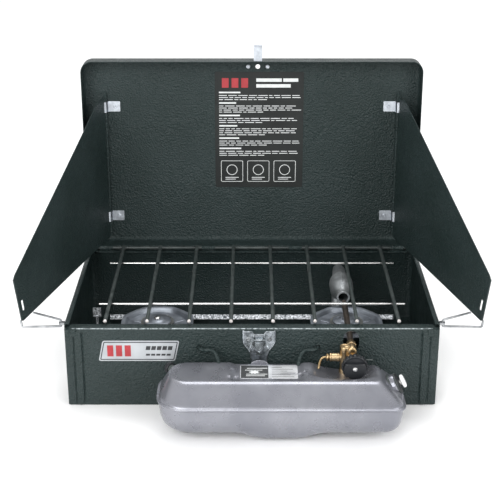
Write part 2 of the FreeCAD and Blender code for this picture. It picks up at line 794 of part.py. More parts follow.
def seam_flange(low):
    grow = size("tank_flange")
    wires = [rounded_outline(size("tank_left") - grow, size("tank_right") + grow, size("tank_front") - grow,
                             size("tank_back") + grow / 2, 33, low + lift) for lift in (0, 1)]
    ring = Part.makeLoft(wires, True, True)
    holes = [rounded_outline(size("tank_left") + 1.2, size("tank_right") - 1.2, size("tank_front") + 1.2,
                             size("tank_back") - 1.2, 28.8, low + lift) for lift in (-1, 2)]
    return ring.cut(Part.makeLoft(holes, True, True))


def pump_axis():
    tilt = math.radians(size("pump_tilt"))
    return Vector(size("pump_x"), size("pump_y"), size("pump_z")), Vector(math.cos(tilt), 0, math.sin(tilt))


def tank_shells():
    wall = size("tank_sheet")
    outer = pan(UPPER_LEVELS, 0).cut(valve_hollow(0))
    inner = pan(UPPER_LEVELS, wall).cut(valve_hollow(wall))
    upper = outer.cut(inner).fuse(seam_flange(size("seam_z")))
    centre, along = pump_axis()
    filler_at = Vector(size("filler_x"), size("filler_y"), size("filler_z"))
    valve_at = Vector(size("valve_x"), size("valve_y"), size("seam_z") + 2)
    for at, heading, radius, length in (
            (centre - along * 30, along, size("pump_bore") + 1, 60),
            (filler_at, Vector(-1, 1, 0), size("filler_neck"), 30),
            (valve_at, Z_AXIS, 4.0, 30)):
        upper = upper.cut(Part.makeCylinder(radius, length, at, heading))
    seat = Part.makeCylinder(size("collar_radius") + 0.1, 30, centre - along, along)
    upper = upper.cut(seat)
    node("tank_upper_shell", feature("tank_upper_shell", upper.removeSplitter()))
    lower_outer = pan(LOWER_LEVELS, 0).fuse(sump(0))
    lower_inner = pan(LOWER_LEVELS, wall).fuse(sump(wall))
    lower = lower_outer.cut(lower_inner).fuse(seam_flange(size("seam_z") - 1)).cut(seat)
    node("tank_lower_shell", feature("tank_lower_shell", lower.removeSplitter()))


def tank_hangers():
    """Two hooked wires, one for each hole in the case's front."""
    front = -size("case_depth") / 2
    height = size("hanger_z")
    wires = []
    for name, x, inward in (("left", size("hanger_left"), 1), ("right", size("hanger_right"), -1)):
        route = [(x, front + 9, height), (x, front - 6.5, height), (x + inward * 18, front - 6.5, height),
                 (x + inward * 24, front - 22, height - 16.5)]
        wires.append(feature(f"hanger_wire_{name}", bent_rod(route, size("hanger_radius"), 5.5)))
    node("tank_hangers", group("tank_hangers", wires))


def tank_trim():
    top = "seam_z + 20.02"
    node("tank_label", box("tank_label_foil", ("latch_x - 23", "tank_front + 35", top), "68", "30", "foil"))
    tab = box("tank_tab_plate", ("latch_x - 10", "tank_back - 22", top), "21", "9", "1.6")
    node("tank_tab", tab)


def filler():
    """The filler neck and its screw cap, on the corner between the tank's back and its left end."""
    base = ("filler_x", "filler_y", "filler_z")
    out = "filler_reach / sqrt(2)"
    seat = (f"filler_x - {out}", f"filler_y + {out}", "filler_z")
    neck = rod("filler_neck_tube", base, "filler_neck", "filler_reach + 3", "back left")
    bore = rod("filler_neck_bore", base, "filler_neck - 1.2", "filler_reach + 3", "back left")
    node("filler_neck", cut("filler_neck", neck, [bore]))
    outer = rod("filler_cap_outer", seat, "filler_radius", "filler_cap_length", "back left")
    hollow = rod("filler_cap_hollow", seat, "filler_neck + running_gap", "filler_cap_hollow",
                 "back left")
    node("filler_cap", cut("filler_cap", outer, [hollow]))


def valve():
    column = rod("valve_column", ("valve_x", "valve_y", "hollow_z - 3"), "valve_radius",
                 "valve_top - hollow_z + 3")
    foot = rod("valve_foot", ("valve_x", "valve_y", "hollow_z - 1"), "9.5", "5")
    bridge = rod("valve_bridge", ("valve_x", "valve_y", "generator_z"), "5", "generator_x - valve_x", "+x")
    outlet = rod("valve_outlet", ("generator_x", "valve_y - 5", "generator_z"), "5", "13", "+y")
    stem_boss = rod("valve_stem_boss", ("stem_x", "valve_y + 3", "stem_z"), "6", "17", "-y")
    link = box("valve_link", ("valve_x", "valve_y - 4", "stem_z - 4"), "stem_x - valve_x", "8", "10")
    side_boss = rod("valve_side_boss", ("valve_x", "valve_y", "lever_z"), "4.6", "18", "-x")
    solid = fuse("valve_blank", [column, foot, bridge, outlet, stem_boss, link, side_boss])
    stem_gap, lever_gap = "stem_radius + running_gap", "lever_radius + running_gap"
    stem_bore = rod("valve_stem_bore", ("stem_x", "valve_y - 8", "stem_z"), stem_gap, "8", "-y")
    lever_bore = rod("valve_lever_bore", ("valve_x - 11", "valve_y", "lever_z"), lever_gap, "9", "-x")
    node("valve_body", cut("valve_body", solid, [stem_bore, lever_bore]))
    node("fuel_pickup_tube", rod("fuel_pickup", ("valve_x", "valve_y", "pickup_low"), "pickup_radius",
                                 "hollow_z - 3.2 - pickup_low"))
    nut = hexagon("packing_nut", "packing_half", "nut_length",
                  ("stem_x", "valve_y - 14.2", "stem_z"), "-y", stem_gap)
    node("packing_nut", nut)
    small = hexagon("lever_nut", "lever_half", "nut_length",
                    ("valve_x - 18.2", "valve_y", "lever_z"), "-x", lever_gap)
    node("lever_nut", small)
    node("valve_stem", rod("valve_stem_bar", ("stem_x", "valve_y - 10", "stem_z"), "stem_radius", "14", "-y"))


def hexagon(name, half, length, base, along, bore):
    """A hexagon nut: half is half the width across its flats."""
    body = doc.addObject("PartDesign::Body", name)
    corners = [(f"{half} / cos(30) * cos({60 * i})", f"{half} / cos(30) * sin({60 * i})") for i in range(6)]

    def draw(sketch):
        polygon(sketch, corners)
        circle(sketch, "0", "0", bore)

    padded(body, name + "_hexagon", "XY_Plane", draw, length)
    body.Placement.Rotation = Rotation(*TURNS[along])
    place(body, base)
    return body


def control_knob():
    body = doc.addObject("PartDesign::Body", "control_knob")

    def disc(sketch):
        circle(sketch, "0", "0", "knob_radius")

    def grip(sketch):
        polygon(sketch, [("-knob_radius + 2", "-knob_grip / 2"), ("knob_radius - 2", "-knob_grip / 2"),
                         ("knob_radius - 2", "knob_grip / 2"), ("-knob_radius + 2", "knob_grip / 2")])

    padded(body, "knob_disc", "XY_Plane", disc, "knob_depth - knob_grip")
    padded(body, "knob_grip", "XY_Plane", grip, "knob_grip", "knob_depth - knob_grip")
    padded(body, "knob_stem_bore", "XY_Plane", lambda s: circle(s, "0", "0", "stem_radius"), "6",
           kind="PartDesign::Pocket", backwards=True)
    scallop = padded(body, "knob_scallop", "XY_Plane",
                     lambda s: circle(s, "knob_radius + knob_scallop / 2", "0", "knob_scallop"),
                     "knob_depth", kind="PartDesign::Pocket", backwards=True)
    doc.recompute()
    ring = body.newObject("PartDesign::PolarPattern", "knob_scallops")
    ring.Originals = [scallop]
    ring.Axis = (plane_of(body, "Z_Axis"), [""])
    ring.Angle = 360
    ring.Occurrences = 18
    body.Tip = ring
    body.Placement.Rotation = Rotation(*TURNS["-y"])
    place(body, ("stem_x", "knob_face + knob_depth", "stem_z"))
    node("control_knob", body)
    node("knob_screw", rod("knob_screw_head", ("stem_x", "knob_face", "stem_z"), "2.4", "1", "-y"))
    node("knob_stop_pin", rod("knob_stop", ("stem_x + 5.5", "valve_y - 7", "stem_z"), "0.8", "17", "+x"))


def lighting_lever():
    """A bent brass lever on a spindle, hanging down at rest."""
    x, y, z = size("valve_x") - 12, size("valve_y"), size("lever_z")
    route = [(x, y, z), (x - 14, y, z), (x - 18, y - 7, z - 3), (x - 19.5, y - 14, z - 8)]
    node("lighting_lever", feature("lighting_lever", bent_rod(route, size("lever_radius"), 3)))


def generator():
    nut_base = ("generator_x", "valve_y + 8.1", "generator_z")
    node("generator_nut", hexagon("generator_nut", "5.4", "8", nut_base, "+y", "generator_radius + 0.02"))
    tube = rod("generator_pipe", ("generator_x", "valve_y + 8.2", "generator_z"), "generator_radius",
               "mouth_y - valve_y - 14", "+y")
    tip = rod("generator_jet", ("generator_x", "mouth_y - 6", "generator_z"), "generator_tip", "11", "+y")
    node("generator_tube", fuse("generator_tube", [tube, tip]))


def pump():
    """The pump leans up out of the tank's right end."""
    centre, along = pump_axis()
    frame = FreeCAD.Placement(centre, Rotation(Z_AXIS, along))

    def standing(name, thing):
        thing.Placement = frame
        return node(name, thing)

    def lone(name, points):
        thing = turned(name, points, ("0", "0", "0"))
        for axis in "xyz":
            thing.setExpression(f"Placement.Base.{axis}", None)
        return standing(name, thing)

    outside = "pump_bore + pump_wall"
    lone("pump_barrel", [("pump_bore", "-pump_depth"), (outside, "-pump_depth"),
                         (outside, "3"), ("pump_bore", "3")])
    lone("pump_collar", [("pump_bore + 1", "-1"), ("collar_radius", "-1"),
                         ("collar_radius", "collar_length - 2"),
                         ("collar_radius - 2", "collar_length"), ("pump_bore + 1", "collar_length")])
    inside, top = "plunger_radius + running_gap", "collar_length + pump_cap_rise"
    lone("pump_cap", [(inside, "pump_cap_base"), (outside, "pump_cap_base"), (outside, top), (inside, top)])
    low, top = "-pump_depth + rod_start", "collar_length + rod_rise"
    lone("pump_rod", [("rod_bore", low), ("plunger_radius", low), ("plunger_radius", top), ("rod_bore", top)])
    low, top, rim = "-pump_depth + cup_start", "-pump_depth + cup_end", "pump_bore - running_gap"
    lone("pump_cup", [("plunger_radius", low), (rim, low), (rim, top), ("plunger_radius", top)])
    base, top = "collar_length + pump_knob_base", "collar_length + pump_knob_top"
    lone("pump_knob", [("0", base), ("pump_knob_radius", base),
                       ("pump_knob_radius", "collar_length + pump_knob_edge"),
                       ("pump_knob_radius - 1.5", top), ("0", top)])
    low, stem = "-pump_depth + air_stem_start", "rod_bore - running_gap"
    lone("air_stem", [("0", low), (stem, low), (stem, base), ("0", base)])


def tank():
    tank_shells()
    tank_hangers()
    tank_trim()
    filler()
    valve()
    control_knob()
    lighting_lever()
    generator()
    pump()


# ------------------------------------------------- latch, badge and wire bails


def front_trim():
    face = "case_depth / 2"
    half, foot = "latch_half", "latch_foot"
    shape = [(f"latch_x - {half}", "latch_top - 8"), (f"latch_x - {half}", "latch_top - 2"),
             (f"latch_x - {half} + 3", "latch_top"), (f"latch_x + {half} - 3", "latch_top"),
             (f"latch_x + {half}", "latch_top - 2"), (f"latch_x + {half}", "latch_top - 8"),
             (f"latch_x + {foot} + 1", "latch_bottom + 13"), (f"latch_x + {foot}", "latch_bottom"),
             (f"latch_x - {foot}", "latch_bottom"), (f"latch_x - {foot} - 1", "latch_bottom + 13")]
    node("latch_plate", plate("latch_plate", "XZ_Plane", shape, "1.2", face))
    rivets = []
    for i, sign in enumerate(("-", "+")):
        rivet_base = (f"latch_x {sign} latch_rivet_x", "-case_depth / 2 - 1.2", "latch_top - 9.9")
        rivets.append(rod(f"latch_rivet_{i}", rivet_base, "2.5", "1.3", "-y"))
    node("latch_rivets", group("latch_rivets", rivets))
    pin_y = "-case_depth / 2 - 3.6"
    pin = rod("latch_pin_bar", ("latch_x - 6.5", pin_y, "latch_pin_z"), "latch_pin", "13", "+x")
    ears = [box(f"latch_ear_{i}", (x, "-case_depth / 2 - 5.2", "latch_pin_z - 2.5"), "1.2", "4", "5")
            for i, x in enumerate(("latch_x - 7.7", "latch_x + 6.5"))]
    node("latch_pivot", fuse("latch_pivot", [pin] + ears))
    arm_left = "latch_x - latch_arm / 2"
    arm_base = (arm_left, "-case_depth / 2 - 4.4", "latch_pin_z - latch_arm_length")
    arm = box("latch_arm_plate", arm_base, "latch_arm", "1.4", "latch_arm_length")
    curl_base = (arm_left, pin_y, "latch_pin_z")
    curl = rod("latch_curl", curl_base, "2.2", "latch_arm", "+x")
    bore = rod("latch_bore", curl_base, "latch_pin + running_gap", "latch_arm", "+x")
    node("latch_lever", cut("latch_lever", fuse("latch_lever_blank", [arm, curl]), [bore]))
    left, right = "badge_x - badge_width / 2", "badge_x + badge_width / 2"
    low, high = "badge_z - badge_height / 2", "badge_z + badge_height / 2"
    outline = [(f"{left} - badge_slant / 2", low), (f"{right} - badge_slant / 2", low),
               (f"{right} + badge_slant / 2", high), (f"{left} + badge_slant / 2", high)]
    node("badge_plate", plate("badge_plate", "XZ_Plane", outline, "0.9", face))


def bails():
    """Wire loops at the case's front corners that steady the windshields."""
    brackets = []
    for side, sign in (("left", -1), ("right", 1)):
        x, y = sign * size("bail_x"), size("bail_y")
        low, high, reach = size("bail_low"), size("bail_high"), size("bail_reach")
        out = x + sign * reach
        route = [(x + sign * 35, y + 13, high + 3.3), (x, y, high), (x, y, low),
                 (out, y - 2, low), (out + sign * 2, y + 2, low + 7)]
        loop = feature(f"bail_loop_{side}", bent_rod(route, size("bail_wire"), 2.2))
        node(f"bail_{side}", loop)
        base = (f"{sign} * bail_x", "bail_y", "(bail_low + bail_high - bail_arm_steel) / 2")
        eye = rod(f"bail_eye_{side}", base, "bail_arm / 2", "bail_arm_steel")
        arm_x = "-bail_x" if sign < 0 else "case_width / 2"
        arm = box(f"bail_arm_{side}", (arm_x, "bail_y - bail_arm / 2", base[2]),
                  "bail_x - case_width / 2", "bail_arm", "bail_arm_steel")
        bore = rod(f"bail_eye_bore_{side}", base, "bail_wire + running_gap", "bail_arm_steel")
        blank = fuse(f"bail_bracket_blank_{side}", [eye, arm])
        brackets.append(cut(f"bail_bracket_{side}", blank, [bore]))
    node("bail_brackets", group("bail_brackets", brackets))


def check():
    """Every object must have computed, and every sub-part must be a valid shape."""
    doc.recompute()
    for thing in doc.Objects:
        if "Invalid" in thing.State or "Error" in thing.State:
            raise ValueError(f"{thing.Label} did not compute: {thing.State}")
    for name, thing in parts.items():
        if thing.Shape.isNull() or not thing.Shape.isValid() or not thing.Shape.Solids:
            raise ValueError(f"{name} is not a valid solid")


case_body()
front_panel()
hinge()
burner_shelf()
burners()
gas_path()
auxiliary_valve()
lid()
grate()
tank()
front_trim()
bails()
check()
os.makedirs("parts", exist_ok=True)
for name, thing in parts.items():
    thing.Shape.exportStep(f"parts/{name}.step")
print(len(parts), "sub-parts written")
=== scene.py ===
import json
import math
import random

import bmesh
import bpy
from mathutils import Matrix, Vector


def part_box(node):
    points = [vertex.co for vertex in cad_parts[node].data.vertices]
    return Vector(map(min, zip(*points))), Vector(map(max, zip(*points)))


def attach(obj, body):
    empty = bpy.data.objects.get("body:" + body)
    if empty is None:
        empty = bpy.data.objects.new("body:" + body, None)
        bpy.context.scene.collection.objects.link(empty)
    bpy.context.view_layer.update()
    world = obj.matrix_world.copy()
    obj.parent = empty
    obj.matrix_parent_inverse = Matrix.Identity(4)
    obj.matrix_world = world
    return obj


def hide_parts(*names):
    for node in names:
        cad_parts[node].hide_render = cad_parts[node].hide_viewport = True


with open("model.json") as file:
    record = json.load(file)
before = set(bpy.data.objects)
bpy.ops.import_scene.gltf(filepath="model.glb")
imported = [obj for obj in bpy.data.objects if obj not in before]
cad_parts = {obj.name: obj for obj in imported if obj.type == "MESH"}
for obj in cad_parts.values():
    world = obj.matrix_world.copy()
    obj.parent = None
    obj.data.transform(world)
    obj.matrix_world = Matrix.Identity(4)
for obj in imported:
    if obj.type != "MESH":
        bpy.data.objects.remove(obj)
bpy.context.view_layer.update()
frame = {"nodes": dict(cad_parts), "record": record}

MM = 0.001

# ------------------------------------------------------------- materials


def texture(nodes, links, place, kind, scale, detail):
    """The value of a noise or a cell texture."""
    node = nodes.new({"noise": "ShaderNodeTexNoise", "cells": "ShaderNodeTexVoronoi"}[kind])
    node.inputs["Scale"].default_value = scale
    node.inputs["Detail"].default_value = detail
    links.new(place, node.inputs["Vector"])
    return node.outputs["Fac" if kind == "noise" else "Distance"]


MATS = {}


def material(name, dark, light, rough, metallic=0.0, patch=18.0, bumps=(), coat=0.0, specular=0.5):
    """A procedural surface: blotchy colour, uneven gloss and bumps of (kind, scale, distance, strength)."""
    mat = bpy.data.materials.new(name)
    mat.use_nodes = True
    nodes, links = mat.node_tree.nodes, mat.node_tree.links
    shader = nodes["Principled BSDF"]
    shader.inputs["Metallic"].default_value = metallic
    shader.inputs["Specular IOR Level"].default_value = specular
    shader.inputs["Coat Weight"].default_value = coat
    place = nodes.new("ShaderNodeTexCoord").outputs["Object"]
    colour = nodes.new("ShaderNodeValToRGB")
    for element, position, tint in zip(colour.color_ramp.elements, (0.35, 0.65), (dark, light)):
        element.position = position
        element.color = (*tint, 1)
    links.new(texture(nodes, links, place, "noise", patch, 4.0), colour.inputs["Fac"])
    links.new(colour.outputs["Color"], shader.inputs["Base Color"])
    gloss = nodes.new("ShaderNodeMapRange")
    gloss.inputs["To Min"].default_value, gloss.inputs["To Max"].default_value = rough
    gloss.inputs["From Min"].default_value = 0.3
    gloss.inputs["From Max"].default_value = 0.7
    links.new(texture(nodes, links, place, "noise", 60.0, 3.0), gloss.inputs["Value"])
    links.new(gloss.outputs["Result"], shader.inputs["Roughness"])
    normal = None
    for kind, scale, distance, strength in bumps:
        bump = nodes.new("ShaderNodeBump")
        bump.inputs["Distance"].default_value = distance
        bump.inputs["Strength"].default_value = strength
        links.new(texture(nodes, links, place, kind, scale, 2.0), bump.inputs["Height"])
        if normal:
            links.new(normal, bump.inputs["Normal"])
        normal = bump.outputs["Normal"]
    if normal:
        links.new(normal, shader.inputs["Normal"])
    MATS[name] = mat
    return mat


material("green_enamel", (0.015, 0.026, 0.025), (0.023, 0.036, 0.036), (0.3, 0.46), 0.0, 9.0,
         bumps=(("noise", 460.0, 0.0024, 1.0), ("noise", 140.0, 0.0014, 0.3)), specular=0.3)
material("silver_paint", (0.215, 0.22, 0.25), (0.27, 0.275, 0.305), (0.25, 0.32), 0.7, 25.0,
         bumps=(("noise", 1100.0, 0.0002, 0.22),), coat=0.15)
material("black_enamel", (0.026, 0.034, 0.033), (0.058, 0.07, 0.068), (0.35, 0.55), 0.0, 80.0,
         bumps=(("noise", 700.0, 0.0003, 0.4),))
material("plated_steel", (0.62, 0.62, 0.61), (0.8, 0.8, 0.79), (0.18, 0.34), 1.0, 60.0,
         bumps=(("noise", 300.0, 0.0002, 0.2),))
material("galvanised_steel", (0.3, 0.32, 0.33), (0.5, 0.52, 0.53), (0.38, 0.55), 0.8, 90.0,
         bumps=(("cells", 220.0, 0.0002, 0.3),))
material("stainless", (0.38, 0.38, 0.37), (0.6, 0.6, 0.58), (0.26, 0.44), 1.0, 50.0,
         bumps=(("noise", 200.0, 0.0002, 0.2),))
material("aluminised_steel", (0.19, 0.21, 0.24), (0.33, 0.36, 0.4), (0.38, 0.55), 0.75, 45.0,
         bumps=(("noise", 380.0, 0.0003, 0.3),))
material("brass", (0.36, 0.255, 0.135), (0.6, 0.455, 0.27), (0.28, 0.44), 1.0, 60.0,
         bumps=(("noise", 300.0, 0.0002, 0.25),))
material("black_plastic", (0.01, 0.011, 0.013), (0.018, 0.02, 0.023), (0.34, 0.48), 0.0, 60.0,
         bumps=(("noise", 900.0, 0.0002, 0.25),), specular=0.35)
material("white_plastic", (0.8, 0.81, 0.82), (0.88, 0.89, 0.9), (0.22, 0.34), 0.0, 40.0,
         bumps=(("noise", 300.0, 0.0001, 0.15),))
material("foil_label", (0.6, 0.61, 0.63), (0.72, 0.73, 0.75), (0.3, 0.42), 0.6, 30.0,
         bumps=(("noise", 300.0, 0.0001, 0.15),))
material("black_label", (0.009, 0.011, 0.011), (0.014, 0.017, 0.016), (0.42, 0.55), 0.0, 20.0,
         bumps=(("noise", 200.0, 0.0001, 0.2),), specular=0.3)
material("leather_cup", (0.1, 0.055, 0.03), (0.17, 0.1, 0.055), (0.5, 0.7), 0.0, 80.0,
         bumps=(("cells", 800.0, 0.0003, 0.5),))
material("dull_brass", (0.11, 0.09, 0.08), (0.25, 0.2, 0.165), (0.35, 0.5), 0.9, 50.0,
         bumps=(("noise", 300.0, 0.0002, 0.25),))
# Pale speckle for the front's rolled top edge: partly worn paint, partly a painted highlight of the fold.
material("wear_and_painted_highlight_edge", (0.035, 0.05, 0.052), (0.42, 0.47, 0.48), (0.28, 0.44), 0.2, 330.0,
         bumps=(("noise", 420.0, 0.0004, 0.4),))
# Dark tin with near-white speckles that are painted glints and highlights.
material("painted_glint_tin", (0.05, 0.065, 0.07), (0.85, 0.88, 0.92), (0.22, 0.4), 0.5, 420.0,
         bumps=(("noise", 500.0, 0.0008, 0.7),))
material("dish_tin", (0.19, 0.21, 0.24), (0.36, 0.39, 0.44), (0.3, 0.46), 0.7, 60.0,
         bumps=(("noise", 300.0, 0.0003, 0.3),))
material("bare_steel", (0.5, 0.47, 0.45), (0.74, 0.71, 0.69), (0.3, 0.45), 0.7, 300.0)
material("wire_steel", (0.2, 0.21, 0.22), (0.4, 0.41, 0.42), (0.26, 0.42), 0.9, 120.0)
material("clip_steel", (0.42, 0.45, 0.49), (0.6, 0.64, 0.69), (0.28, 0.4), 0.5, 140.0,
         bumps=(("noise", 300.0, 0.0002, 0.2),))
material("latch_steel", (0.15, 0.17, 0.18), (0.5, 0.54, 0.57), (0.18, 0.32), 0.9, 170.0,
         bumps=(("noise", 300.0, 0.0003, 0.3),))
material("dark_tin", (0.16, 0.17, 0.18), (0.34, 0.36, 0.37), (0.3, 0.46), 0.8, 300.0)
material("badge_white", (0.36, 0.38, 0.4), (0.46, 0.48, 0.5), (0.3, 0.42), 0.3, 30.0)
material("white_ink", (0.62, 0.64, 0.64), (0.72, 0.74, 0.74), (0.45, 0.6), 0.0, 200.0)
material("black_ink", (0.015, 0.016, 0.018), (0.03, 0.032, 0.034), (0.4, 0.55), 0.0, 120.0)
material("red_ink", (0.3, 0.016, 0.022), (0.38, 0.026, 0.034), (0.35, 0.5), 0.0, 60.0)

# CAD nodes whose look differs from their slot in the record; the auxiliary valve handle's look carries
# painted glints.
LOOKS = {"bail_left": "wire_steel", "bail_right": "wire_steel",
         "bail_brackets": "wire_steel", "auxiliary_valve_handle": "painted_glint_tin"}
slot_of = {row["node"]: row["material_slot"] for row in frame["record"]["subparts"]}
for name, thing in frame["nodes"].items():
    thing.data.materials.clear()
    thing.data.materials.append(MATS[LOOKS.get(name, slot_of[name])])

# --------------------------------------------------------- mesh builders


def facing(direction, at=(0, 0, 0)):
    """A matrix whose Z runs along direction from a point, all in millimetres."""
    return Matrix.Translation(Vector(at)) @ Vector(direction).to_track_quat("Z", "Y").to_matrix().to_4x4()


UPRIGHT = Matrix.Rotation(math.radians(90), 4, "X")


def upright(x, y, z):
    """A matrix whose XY plane stands up and faces -Y at a point."""
    return Matrix.Translation((x, y, z)) @ UPRIGHT


def rounded(points, bend, steps=5):
    """A path whose corners are rounded, as a list of points."""
    points = [Vector(p) for p in points]
    out = [points[0]]
    for before, corner, after in zip(points, points[1:], points[2:]):
        back, ahead = before - corner, after - corner
        reach = min(bend, back.length * 0.48, ahead.length * 0.48)
        start, end = corner + back.normalized() * reach, corner + ahead.normalized() * reach
        for i in range(steps + 1):
            t = i / steps
            out.append(start * (1 - t) ** 2 + corner * 2 * t * (1 - t) + end * t * t)
    out.append(points[-1])
    return out


def closed_outline(points, radius, steps=4):
    """A closed flat outline with rounded corners."""
    count = len(points)
    out = []
    for i in range(count):
        before, corner, after = (Vector(points[(i + k) % count]) for k in (-1, 0, 1))
        r = radius[i] if isinstance(radius, (list, tuple)) else radius
        back, ahead = before - corner, after - corner
        reach = min(r, back.length * 0.49, ahead.length * 0.49)
        start, end = corner + back.normalized() * reach, corner + ahead.normalized() * reach
        if reach < 0.01:
            out.append(corner)
            continue
        for k in range(steps + 1):
            t = k / steps
            out.append(start * (1 - t) ** 2 + corner * 2 * t * (1 - t) + end * t * t)
    return out


def outward(mesh):
    """Turn every face of a closed mesh outward."""
    work = bmesh.new()
    work.from_mesh(mesh)
    bmesh.ops.recalc_face_normals(work, faces=work.faces)
    work.to_mesh(mesh)
    work.free()


def block(left, low, right, high):
    """A rectangle's four corners."""
    return [(left, low), (right, low), (right, high), (left, high)]


def circle(radius, height, steps):
    """A level loop of points about Z."""
    turns = [2 * math.pi * i / steps for i in range(steps)]
    return [(radius * math.cos(a), radius * math.sin(a), height) for a in turns]


class Solid:
    """Collects closed shapes in millimetres and turns them into one piece."""

    def __init__(self):
        self.verts, self.faces = [], []

    def add(self, verts, faces, matrix=None):
        """Add corners and the faces that join them."""
        first = len(self.verts)
        self.verts += [matrix @ Vector(v) if matrix else Vector(v) for v in verts]
        self.faces += [[first + i for i in face] for face in faces]

    def rings(self, loops, matrix=None, cap=True, joined=False):
        """Skin a list of loops that all have as many points."""
        count = len(loops[0])
        verts = [v for loop in loops for v in loop]
        faces = []
        spans = len(loops) if joined else len(loops) - 1
        for j in range(spans):
            a, b = j * count, (j + 1) % len(loops) * count
            faces += [[a + i, a + (i + 1) % count, b + (i + 1) % count, b + i] for i in range(count)]
        if cap and not joined:
            faces.append(list(range(count))[::-1])
            faces.append([(len(loops) - 1) * count + i for i in range(count)])
        self.add(verts, faces, matrix)

    def lathe(self, profile, matrix=None, steps=48, wave=None):
        """Turn a closed section of (radius, height) points about Z; a radius of 0 closes it."""
        on_axis = profile[0][0] < 1e-6
        loops = []
        for radius, height in profile:
            if radius < 1e-6:
                radius = 0.001
            loop = []
            for i in range(steps):
                angle = 2 * math.pi * i / steps
                scale = wave(angle, radius, height) if wave else 1
                loop.append((radius * scale * math.cos(angle), radius * scale * math.sin(angle), height))
            loops.append(loop)
        self.rings(loops, matrix, cap=on_axis, joined=not on_axis)

    def tube(self, path, radius, matrix=None, steps=12, round_end=True):
        """A round bar along a path, with softly rounded ends."""
        path = [Vector(p) for p in path]
        headings = []
        for i in range(len(path)):
            a, b = path[max(0, i - 1)], path[min(len(path) - 1, i + 1)]
            headings.append((b - a).normalized())
        side = headings[0].orthogonal().normalized()
        frames = []
        for heading in headings:
            side = (side - heading * side.dot(heading)).normalized()
            frames.append((side, heading.cross(side)))
        stations = [(p, f, radius) for p, f in zip(path, frames)]
        if round_end:
            reach = radius * 0.6
            dome = ((1.0, 0.45), (0.75, 0.75), (0.35, 0.94), (0.0, 1.0))
            head = [(path[0] + headings[0] * reach * (1 - s), frames[0], radius * r) for s, r in dome]
            tail = [(path[-1] - headings[-1] * reach * (1 - s), frames[-1], radius * r)
                    for s, r in dome[::-1]]
            stations = head + stations[1:-1] + tail
        loops = []
        for centre, (u, v), r in stations:
            loops.append([centre + u * x + v * y for x, y, level in circle(r, 0, steps)])
        self.rings(loops, matrix)

    def prism(self, outline, low, high, matrix=None):
        """A flat plate: a closed outline of (x, y) points between two heights."""
        self.rings([[(p[0], p[1], low) for p in outline], [(p[0], p[1], high) for p in outline]], matrix)

    def border(self, outer, inner, low, high, matrix=None):
        """A flat frame between two closed outlines that have as many points."""
        self.rings([[(p[0], p[1], level) for p in outline]
                    for outline, level in ((outer, low), (outer, high), (inner, high), (inner, low))],
                   matrix, joined=True)

    def extrude(self, section, left, right, matrix=None):
        """A bar along X: a closed section of (y, z) points between two ends."""
        self.rings([[(x, p[0], p[1]) for p in section] for x in (left, right)], matrix)

    def build(self, name, body, look, nodes=(), slot=None, bevel=0.0, segments=2, angle=35):
        """Make the piece, which rides a body, has a material and may replace CAD nodes."""
        mesh = bpy.data.meshes.new(name)
        mesh.from_pydata([v * MM for v in self.verts], [], self.faces)
        mesh.materials.append(MATS[look])
        mesh.polygons.foreach_set("use_smooth", [True] * len(mesh.polygons))
        outward(mesh)
        thing = bpy.data.objects.new(name, mesh)
        bpy.context.scene.collection.objects.link(thing)
        if bevel:
            edge = thing.modifiers.new("edges", "BEVEL")
            edge.width = bevel * MM
            edge.segments = segments
            edge.limit_method = "ANGLE"
            edge.angle_limit = math.radians(angle)
            edge.harden_normals = True
        else:
            mesh.set_sharp_from_angle(angle=math.radians(angle))
        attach(thing, body)
        if nodes:
            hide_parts(*nodes)
        return thing


# ---------------------------------------------------------------- stage


def stage():
    """The pale world, the paper floor, three soft lights and the camera."""
    world = bpy.data.worlds.new("studio")
    bpy.context.scene.world = world
    world.use_nodes = True
    tree = world.node_tree
    sky = tree.nodes.new("ShaderNodeTexCoord")
    parts = tree.nodes.new("ShaderNodeSeparateXYZ")
    level = tree.nodes.new("ShaderNodeValToRGB")
    level.color_ramp.elements[0].position = 0.0
    level.color_ramp.elements[0].color = (0.93, 0.935, 0.94, 1)
    level.color_ramp.elements[1].position = 0.75
    level.color_ramp.elements[1].color = (1.0, 1.0, 1.0, 1)
    tree.links.new(sky.outputs["Generated"], parts.inputs[0])
    tree.links.new(parts.outputs["Z"], level.inputs["Fac"])
    tree.links.new(level.outputs["Color"], tree.nodes["Background"].inputs["Color"])
    world.node_tree.nodes["Background"].inputs["Strength"].default_value = 0.95
    mesh = bpy.data.meshes.new("floor")
    mesh.from_pydata([(-60, -60, 0), (60, -60, 0), (60, 60, 0), (-60, 60, 0)], [], [(0, 1, 2, 3)])
    floor = bpy.data.objects.new("floor", mesh)
    bpy.context.scene.collection.objects.link(floor)
    floor.location.z = -0.0002
    paper = material("floor_paper", (0.95, 0.95, 0.95), (0.97, 0.97, 0.97), (0.7, 0.9), 0.0, 3.0)
    mesh.materials.append(paper)
    for name, at, aim, size, power in (("key", (-0.9, -1.9, 1.2), (0, 0, 0.1), 1.6, 34.0),
                                       ("fill", (1.5, -1.5, 1.1), (0, 0, 0.1), 1.4, 16.0),
                                       ("top", (0.1, 1.1, 2.3), (0, -0.1, 0.05), 1.3, 24.0)):
        lamp = bpy.data.lights.new(name, "AREA")
        lamp.size = size
        lamp.energy = power
        thing = bpy.data.objects.new(name, lamp)
        bpy.context.scene.collection.objects.link(thing)
        thing.location = at
        thing.rotation_euler = (Vector(aim) - Vector(at)).to_track_quat("-Z", "Y").to_euler()
    lens = bpy.data.cameras.new("camera")
    lens.sensor_width = 36.0
    lens.lens = 87.19
    camera = bpy.data.objects.new("camera", lens)
    bpy.context.scene.collection.objects.link(camera)
    camera.location = (-0.0024, -1.421, 0.739)
    camera.rotation_euler = (math.radians(67.6), 0, 0)
    bpy.context.scene.camera = camera
    bpy.context.scene.view_settings.view_transform = "Standard"


# ----------------------------------------------------------------- tank

TANK_LEFT, TANK_RIGHT, TANK_FRONT, TANK_BACK, SEAM = -108.0, 173.0, -223.0, -134.0, 49.0


